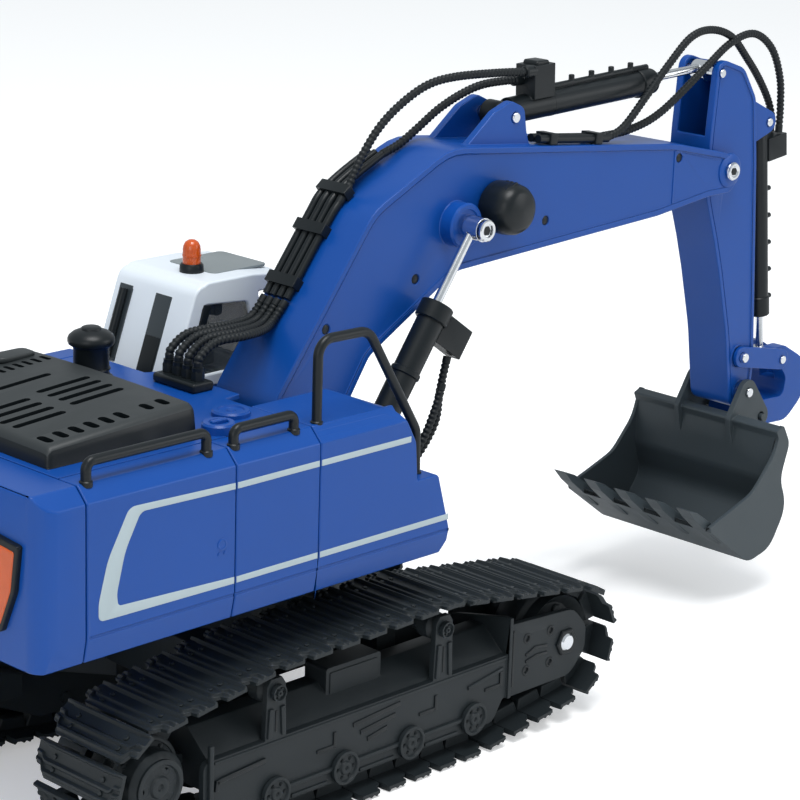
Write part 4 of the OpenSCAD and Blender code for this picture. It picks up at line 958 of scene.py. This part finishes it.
class HOUSE_OT_build(bpy.types.Operator):
    """House panels, hood, rails and lights"""
    bl_idname = "excavator.house"
    bl_label = "House"

    def execute(self, context):
        paint, dark, grey = look("moulded_blue"), look("trim_black"), look("hood_grey")
        for node, width, groove in (
                ("counterweight", 0.8, None), ("house_floor", 0.8, None), ("deck", 0.4, None),
                ("side_doors", 0.7, (-150, -30)), ("front_module", 0.7, (-32.6, 42.6)),
                ("cab_base", 0.7, (-32.6, 47))):
            soften(node, paint, width, cut=crease(*groove) if groove else None)
        edge = Shape()
        edge.slab([(-81.95, 157.4), (-81.95, 157.95), (-75.95, 163.95), (-75, 163.95), (-75, 161),
                   (-79, 157.4)], -32.2, 13, paint, 0.05, "x")
        edge.make("front_module_edge", "front_module")
        house = "side_doors"
        for side in SIDES:
            stripe = Shape(side == "left")
            add_stripe(stripe, look("stripe_grey"), side == "right")
            stripe.make("side_stripe_" + side, house)
        lock = Shape()
        lock.lathe([(1.5, -0.2), (2.5, -0.2), (2.5, 0.15), (2.2, 0.3), (1.7, 0.3), (1.5, 0.1)],
                   (-85, WALL_Y, 127.5), OUT, paint, 24)
        for x in (-86.4, -83.4):
            lock.lathe([(0, -0.2), (0.8, -0.2), (0.8, 0.25), (0, 0.3)], (x, WALL_Y, 123.8),
                       OUT, paint, 16)
        lock.make("door_lock", house)

        hood = Shape()
        add_hood(hood, grey)
        cover = hood.make("hood_cover", "hood", ["hood"])
        carve(cover, hood_slots(grey))
        cover.data.set_sharp_from_angle(angle=math.radians(SHARP))
        # Painted shade: the louvres' walls take the darker trim black, which stands for the shade
        # in the slots and makes them darker than the top.
        cover.data.materials.append(dark)
        facing = np.empty(len(cover.data.polygons) * 3)
        cover.data.polygons.foreach_get("normal", facing)
        cover.data.polygons.foreach_set("material_index", (facing[2::3] < 0.45).astype(np.int32))
        lid = Shape()
        lid.slab(rounded(corners(-98, 40, -79, 50, 3)), 175.6, 178.0, grey, 0.8, "z")
        lid.make("hood_lid", house)

        caps = Shape()
        caps.lathe([(0, 0), (7, 0), (7, 3.2), (6.2, 4), (4.2, 4), (3.8, 3.3), (0, 3.3)],
                   (-66, -58, DECK_Z), UP, paint)
        caps.block((-70, -59.1, DECK_Z + 3), (-62, -56.9, DECK_Z + 5), paint, 0.5)
        caps.lathe([(0, 0), (8, 0), (8, 1.6), (7.3, 2.4), (5.6, 2.4), (5.2, 1.7), (2, 1.7),
                    (1.6, 2.3), (0, 2.3)], (-47, -44, DECK_Z), UP, paint)
        caps.make("fuel_lids", house, ["fuel_cap"])

        manifold = Shape()
        manifold.block((-40, -13, DECK_Z), (-28.5, 13, DECK_Z + 4.2), dark, 0.9)
        for i in range(4):
            y = -9 + 6 * i
            manifold.lathe([(0, -9), (2.9, -9), (2.9, -1.4), (2.4, 0), (0, 0)],
                           (-34, y, DECK_Z + 9),
                           UP, dark, 6)
            manifold.lathe([(0, 0), (2.5, 0), (2.5, 1.6), (0, 1.6)], (-34, y, DECK_Z + 8.2),
                           UP, dark, 24)
        manifold.make("manifold_block", house, ["hose_manifold"])

        rails = Shape()
        for x0, x1, top, r in ((-147, -88, 172, 3.4), (-74, -42, 170.5, 3.2)):
            add_rail(rails, [(x0, DECK_Z, 0), (x0, top, r), (x1, top, r), (x1, DECK_Z, 0)],
                     dark, -75.5)
        add_rail(rails,
                 [(-28, DECK_Z, 0), (-28, 198, 7), (0, 197.5, 9), (29.5, 150, 8), (30, 131, 0)],
                 dark)
        rails.make("handrails_bent", house, ["handrails"])

        stack = Shape()
        stack.lathe([(0, 0), (9, 0), (9.2, 1), (9, 3.6), (8, 4.4), (7.5, 5.4), (7.5, 15.6),
                     (7.9, 16.6), (9.5, 17.6), (9.9, 18.6), (9.9, 19.8), (9.4, 21), (7.8, 22.4),
                     (5.6, 23.4), (4.4, 23.7),
                     (4.1, 24.4), (3.4, 24.8), (0, 24.8)], STACK_AT, UP, dark, 48)
        stack.lathe([(0, 6.5), (7.9, 6.5), (8.1, 7), (7.9, 7.5), (0, 7.5)], STACK_AT, UP, dark, 48)
        stack.make("air_cleaner", house, ["air_stack"])

        lamps = Shape()
        for s in (-1, 1):
            lamps.slab(rounded([(-s * y, z, r) for y, z, r in LENS]), LENS_FRAME, LENS_BACK,
                       dark, 0.4, "x")
            inner = [(-s * (LENS_Y + LENS_WIDE * (y - LENS_Y)),
                      LENS_Z + LENS_HIGH * (z - LENS_Z), r)
                     for y, z, r in LENS]
            lamps.slab(rounded(inner), LENS_FACE, LENS_BACK, look("signal_orange"), 0.6, "x")
        lamps.make("tail_lenses", house, ["tail_lights"])
        return {"FINISHED"}


# ---------------------------------------------------------------------- cab
# Slope of the rear face and, from the upright, of the bar behind it, in degrees.
REAR_LEAN, BAR_LEAN = 70.8, 19.2
BAR_FOOT, BAR_LENGTH = (-17.3, 71, 158.7), 31
BEACON_AT = (12, 48, 197)


class CAB_OT_build(bpy.types.Operator):
    """Cab shell, glass, seat, beacon and bar"""
    bl_idname = "excavator.cab"
    bl_label = "Cab"

    def execute(self, context):
        dark, white = look("trim_black"), look("cab_white")
        soften("cab_shell", white, 1.1)
        dress("cab_glass", look("cab_glass"))
        soften("cab_interior", dark, 1.2)
        cab = "cab_shell"
        parts = Shape()
        parts.slab(rounded(corners(16, 38, 48, 69, 3)), 196.2, 197.35,
                   look("skylight_grey"), 0.3, "z")
        # rear windows and a vent on the leaning rear face
        for y0, y1 in ((41.5, 52.5), (67.5, 76.5)):
            add_strap(parts, (-9.83, 173), REAR_LEAN, 17, -0.6, 0.35, y0, y1, look("dark_glass"))
        add_strap(parts, (-13.3, 163.5), REAR_LEAN, 8.5, -0.4, 0.9, 42.2, 51.6, dark)
        # rubber bands and pillar of the side window
        for y0, y1 in ((27.5, 28.6), (79.4, 80.5)):
            parts.slab([(-7.4, 156.0), (-3.2, 156.0), (5.4, 186.8), (1.6, 187.4)],
                       y0, y1, dark, 0.2)
        parts.slab([(24.5, 156.2), (28.6, 156.2), (22.6, 185.6), (19.8, 185.8)], 79.4, 80.5,
                   look("stripe_grey"), 0.2)
        # mirror and its arm
        parts.block((24, 46, 175), (29, 52, 184), dark, 1.0)
        parts.tube([(26.5, 49, 183), (26.5, 49, 189), (25, 49, 195)], 0.9, dark, 10)
        parts.make("cab_fittings", cab)

        light = Shape()
        orange = look("signal_orange")
        light.lathe([(0, -0.6), (5.2, -0.6), (5.4, 0.2), (5.2, 3.0), (4.6, 3.8), (0, 3.8)],
                    BEACON_AT, UP, dark)
        light.lathe([(0, 3.6), (4.0, 3.6), (4.0, 10.0), (3.7, 11.7), (2.9, 13.2), (1.6, 14.1),
                     (0, 14.4)],
                    BEACON_AT, UP, orange)
        light.lathe([(0, 7.0), (4.2, 7.0), (4.2, 7.6), (0, 7.6)], BEACON_AT, UP, orange)
        light.make("beacon_dome", cab, ["beacon"])

        bar = Shape()
        x, y, z = BAR_FOOT
        rise, run = BAR_LENGTH * unit(math.radians(BAR_LEAN))
        bar.tube([BAR_FOOT, (x + run, y, z + rise)], 1.8, dark, 16)
        bar.make("cab_rear_bar", cab, ["cab_bar"])
        for node in ("battery_pack", "control_board", "slew_motor"):
            soften(node, look("frame_black"), 0.4)
        return {"FINISHED"}


# ---------------------------------------------------------------- equipment
# Axis of each cylinder, from x, z of its foot to x, z of its head.
BOOM_CYLINDER = ((32.0, 108.0), (109.0, 217.0))
STICK_CYLINDER = ((152.0, 259.0), (302.0, 265.0))
BUCKET_CYLINDER = ((350.0, 235.0), (365.0, 109.5))
BOOM_SCREWS = ((31, 181), (85, 195), (170, 210), (266, 228))
# Radii of the pipes on the boom and of the feed pipes, and length of a hose's plain cuff.
PIPE_RADIUS, FEED_RADIUS, CUFF = 1.8, 2.0, 3.2


def add_collar(shape, line, y, start, end, radius, mat):
    """A ring with worn edges round a cylinder's axis, sunk into the barrel wall."""
    (x0, z0), (x1, z1) = line
    inner, worn = radius - 2.2, 0.5
    shape.lathe([(inner, start), (radius - worn, start), (radius, start + worn),
                 (radius, end - worn),
                 (radius - worn, end), (inner, end)], (x0, y, z0), (x1 - x0, 0, z1 - z0),
                mat, loop=True)


def add_strap(shape, centre, heading, half, low, high, y0, y1, mat):
    """A clamp across pipes that run along heading, in degrees."""
    d, n = unit(math.radians(heading)), unit(math.radians(heading + 90))
    c = np.array(centre)
    shape.slab([c - d * half + n * low, c + d * half + n * low, c + d * half + n * high,
                c - d * half + n * high], y0, y1, mat, 0.5)


def add_hose(shape, points):
    """Ribbed hose: radius r(s) = r0 * (0.80 + 0.20 * bead), bead from a cosine of s over the
    rib pitch, with a plain cuff at each end."""
    size = sizes()
    path, s = smooth_path(points, size.rib_pitch / 6)
    bead = np.clip(0.5 + 0.7 * np.cos(2 * np.pi * s / size.rib_pitch), 0, 1)
    cuff = np.minimum(s, s[-1] - s) < CUFF
    shape.tube(path, size.hose_radius * np.where(cuff, 0.96, 0.80 + 0.20 * bead),
               look("hose_black"))


def pipe_y(i):
    """Place across the boom of each pipe on its top."""
    return 2 + 4.3 * i


class EQUIPMENT_OT_build(bpy.types.Operator):
    """Boom, stick, bucket, linkage and cylinders"""
    bl_idname = "excavator.equipment"
    bl_label = "Digging equipment"

    def execute(self, context):
        paint, dark, chrome = look("moulded_blue"), look("trim_black"), look("rod_chrome")
        holes, screws = Shape(), Shape()
        for x, z in BOOM_SCREWS:
            for s in (-1, 1):
                holes.lathe([(0, 0), (2.2, 0), (2.2, 3.4), (0, 3.4)], (x, 20 * s, z),
                            (0, -s, 0), dark, 24)
                screws.lathe([(0, -0.5), (2.1, -0.5), (2.1, -0.1), (1.6, 0.2), (0, 0.2)],
                             (x, 17 * s, z), (0, s, 0), dark, 24)
        soften("boom", paint, 0.6, chrome, holes)
        screws.make("boom_screws", "boom")
        extras = Shape()
        for s in (-1, 1):
            y0, y1 = sorted((s * 17.4, s * 18.1))
            extras.slab([(261.6, 206.2), (262.6, 206.2), (262.6, 233.6), (261.6, 233.6)], y0, y1,
                        paint, 0.2)
            # the stick's boss, ringed seats and heads of the boom cylinders, the stick pin's head
            for profile, x, y, mat, sides in (
                    ([(0, 0), (8.6, 0), (8.4, 0.9), (7.6, 1.3), (0, 1.3)], 306, 17.3, paint, 48),
                    ([(7.2, 0), (10.2, 0), (10.2, 1.2), (9.4, 2.0), (7.6, 2.0), (7.2, 1.2)],
                     109, 23.2, paint, 40),
                    ([(0, 0), (4.9, 0), (4.9, 0.9), (4.4, 1.4), (3.1, 1.4), (2.8, 0.3), (0, 0.3)],
                     109, 36.55, chrome, 40),
                    ([(0, 0.2), (2.2, 0.2), (2.2, 0.65), (0, 0.65)], 109, 36.55, dark, 6),
                    ([(0, 0), (2.0, 0), (2.0, 0.62), (0, 0.62)], 306, 20.3, dark, 6),
                    ([(0, 0), (4.3, 0), (4.3, 0.5), (3.9, 0.9), (3.0, 0.9), (2.4, 0.3), (0, 0.3)],
                     306, 20.3, chrome, 32)):
                extras.lathe(profile, (x, s * y, 217), (0, s, 0), mat, sides)
        extras.make("boom_bosses", "boom")

        lamps = Shape()
        for s in (-1, 1):
            lamps.lathe([(0, -0.6), (10.6, -0.6), (11.6, 0.6), (12.0, 4), (11.9, 9), (11.2, 13.2),
                         (9.6, 15.8), (7.2, 17.0), (0, 17.4)], (134, s * 18.5, 222),
                        (0, s, 0), dark, 48)
            for i in range(3):
                y0, y1 = sorted((s * (24 + 2.6 * i), s * (25.2 + 2.6 * i)))
                lamps.slab(rounded([(124.5, 226, 0.6), (128, 232.2, 3), (136, 234.6, 0.6),
                                    (135.4, 233, 0.6), (129, 230.6, 3), (126, 225.4, 0.6)]), y0, y1,
                           dark, 0.2)
        lamps.make("lamp_drums", "work_lamps", ["work_lamps"])

        for node, mat, width, pins in (
                ("stick", paint, 0.6, chrome), ("rocker", paint, 0.4, chrome),
                ("c_link", paint, 0.35, chrome), ("bucket", look("bucket_grey"), 0.35, None),
                ("boom_barrels", dark, 0.35, None), ("stick_barrel", dark, 0.35, None),
                ("bucket_barrel", dark, 0.35, None)):
            soften(node, mat, width, pins)
        for name, line, places, rings in (
                ("boom_barrels", BOOM_CYLINDER, (-30, 30),
                 ((87, 95.2, 7.6), (60, 63, 6.9), (24, 27, 6.9))),
                ("stick_barrel", STICK_CYLINDER, (0,), ((99, 105.8, 6.9), (34.5, 37.5, 6.3))),
                ("bucket_barrel", BUCKET_CYLINDER, (0,), ((94, 104.4, 5.6),))):
            collars = Shape()
            for y in places:
                for start, end, radius in rings:
                    add_collar(collars, line, y, start, end, radius, dark)
            collars.make(name.rstrip("s") + "_collars", name)
        for node in ("boom_rods", "stick_rod", "bucket_rod"):
            soften(node, chrome, 0.25)

        pipes = Shape()
        for i in range(4):
            ahead = [(56, 229.7)] if i == 0 else [(57, 231.5), (68, 238.5), (86, 247)]
            run = [(x, pipe_y(i), z) for x, z in [(26, 191.5), (50, 223)] + ahead]
            pipes.tube(smooth_path(run, 1.2)[0], PIPE_RADIUS, dark, 16)
        for centre, heading in (((30.5, 197.5), 52.5), ((46.5, 218.5), 52.5), ((60, 233.6), 38)):
            add_strap(pipes, centre, heading, 2.6, -2.2, 2.9, -0.6, 17.5, dark)
        pipes.make("boom_pipe_run", "boom_pipes", ["boom_pipes"], "hose_black")

        feeds = Shape()
        for y in (-10, -14.6):
            run = [(165.5, y, 248.0), (190, y, 245.4), (214.5, y, 243.0)]
            feeds.tube(smooth_path(run, 1.2)[0], FEED_RADIUS, dark, 16)
        for x, z in ((174, 247.1), (206, 243.8)):
            add_strap(feeds, (x, z), -5.6, 2.4, -2.4, 2.8, -17.4, -7.4, dark)
        feeds.make("boom_feed_pipes", "boom")
        ends = Shape()
        for y, z in ((-3.5, 277), (3.5, 272.5)):
            ends.lathe([(0, 0), (2.3, 0), (2.9, 0.6), (2.9, 6.4), (0, 6.4)],
                       (166.5, y, z), (1, 0, 0),
                       dark, 24)
        ends.block((174, -4.5, 277.5), (183, 4.5, 281.5), dark, 0.9)
        ends.make("stick_barrel_ports", "stick_barrel")

        swing = Shape()
        for i in range(4):
            y, y1 = -9 + 6 * i, pipe_y(i)
            add_hose(swing, [(-34, y, 173), (-33, y, 178), (-24, y, 183), (-8, y, 183),
                             (8, (y + y1) / 2, 182), (18, y1, 183), (25.2, y1, 190.4)])
        hose_piece(swing, "swing_hose_set", "swing_hoses")
        arm = Shape()
        add_hose(arm, [(213, -10, 243), (236, -10, 244), (259, -10, 250), (291, -9, 267),
                       (314, -7, 278), (334, -6, 281), (351, -5, 272), (361, -4, 256),
                       (365, -2.6, 240), (365, -2.6, 227.5)])
        add_hose(arm, [(213, -14.6, 243), (226, -14.6, 247), (244, -13, 260), (262, -11, 273),
                       (280, -9, 284), (298, -7, 286), (316, -6, 281), (334, -3, 268),
                       (350, 1, 256), (361, 2.6, 244),
                       (365, 2.6, 235), (365, 2.6, 227.5)])
        hose_piece(arm, "stick_hose_pair", "stick_hoses")
        top = Shape()
        add_hose(top, [(56, 2, 229.7), (62, 2, 237), (68, 2, 247), (78, 1.5, 259.5), (90, 0.5, 269),
                       (105, -1, 276.5), (121, -2.5, 279), (147, -3.5, 278.5), (169.8, -3.5, 277)])
        add_hose(top, [(86, pipe_y(1), 247), (97, pipe_y(1), 250.5), (108, 6, 256.5),
                       (120, 5.5, 263.5), (134, 5, 269), (148, 4, 272.3), (169.8, 3.5, 272.5)])
        hose_piece(top, "boom_hose_pair", "boom_hoses")
        for side in SIDES:
            low = Shape(side == "left")
            add_hose(low, [(94, -30, 161), (90, -30, 146), (88, -29, 130), (76, -26, 113),
                           (58, -22, 105), (40.3, -20.9, 104)])
            add_hose(low, [(84, -37, 152), (80, -37, 141), (73, -36, 127), (63, -32, 115),
                           (51, -26.5, 108), (42, -24.5, 106)])
            hose_piece(low, "cylinder_hose_" + side, "cylinder_hoses" if side == "right" else None)
        return {"FINISHED"}


def hose_piece(shape, name, node):
    """A hose between two nodes' bodies, riding with neither, its transform baked in."""
    obj = shape.make(name, None, [node] if node else (), "hose_black")
    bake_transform(obj)


class EXCAVATOR_PT_panel(bpy.types.Panel):
    """Lists the piece groups"""
    bl_idname = "EXCAVATOR_PT_panel"
    bl_label = "Toy excavator"
    bl_space_type = "VIEW_3D"
    bl_region_type = "UI"
    bl_category = "Excavator"

    def draw(self, context):
        column = self.layout.column()
        for operator in OPERATORS:
            column.operator(operator.bl_idname)


OPERATORS = (STAGE_OT_build, UNDERCARRIAGE_OT_build, HOUSE_OT_build, CAB_OT_build,
             EQUIPMENT_OT_build)
CLASSES = (ExcavatorColours, ExcavatorSizes) + OPERATORS + (EXCAVATOR_PT_panel,)


def register():
    for cls in CLASSES:
        bpy.utils.register_class(cls)
    bpy.types.Scene.excavator_colours = bpy.props.PointerProperty(type=ExcavatorColours)
    bpy.types.Scene.excavator_sizes = bpy.props.PointerProperty(type=ExcavatorSizes)


def unregister():
    del bpy.types.Scene.excavator_colours
    del bpy.types.Scene.excavator_sizes
    for cls in reversed(CLASSES):
        bpy.utils.unregister_class(cls)


def main():
    register()
    for operator in OPERATORS:
        group, name = operator.bl_idname.split(".")
        getattr(getattr(bpy.ops, group), name)()


if __name__ == "__main__":
    main()
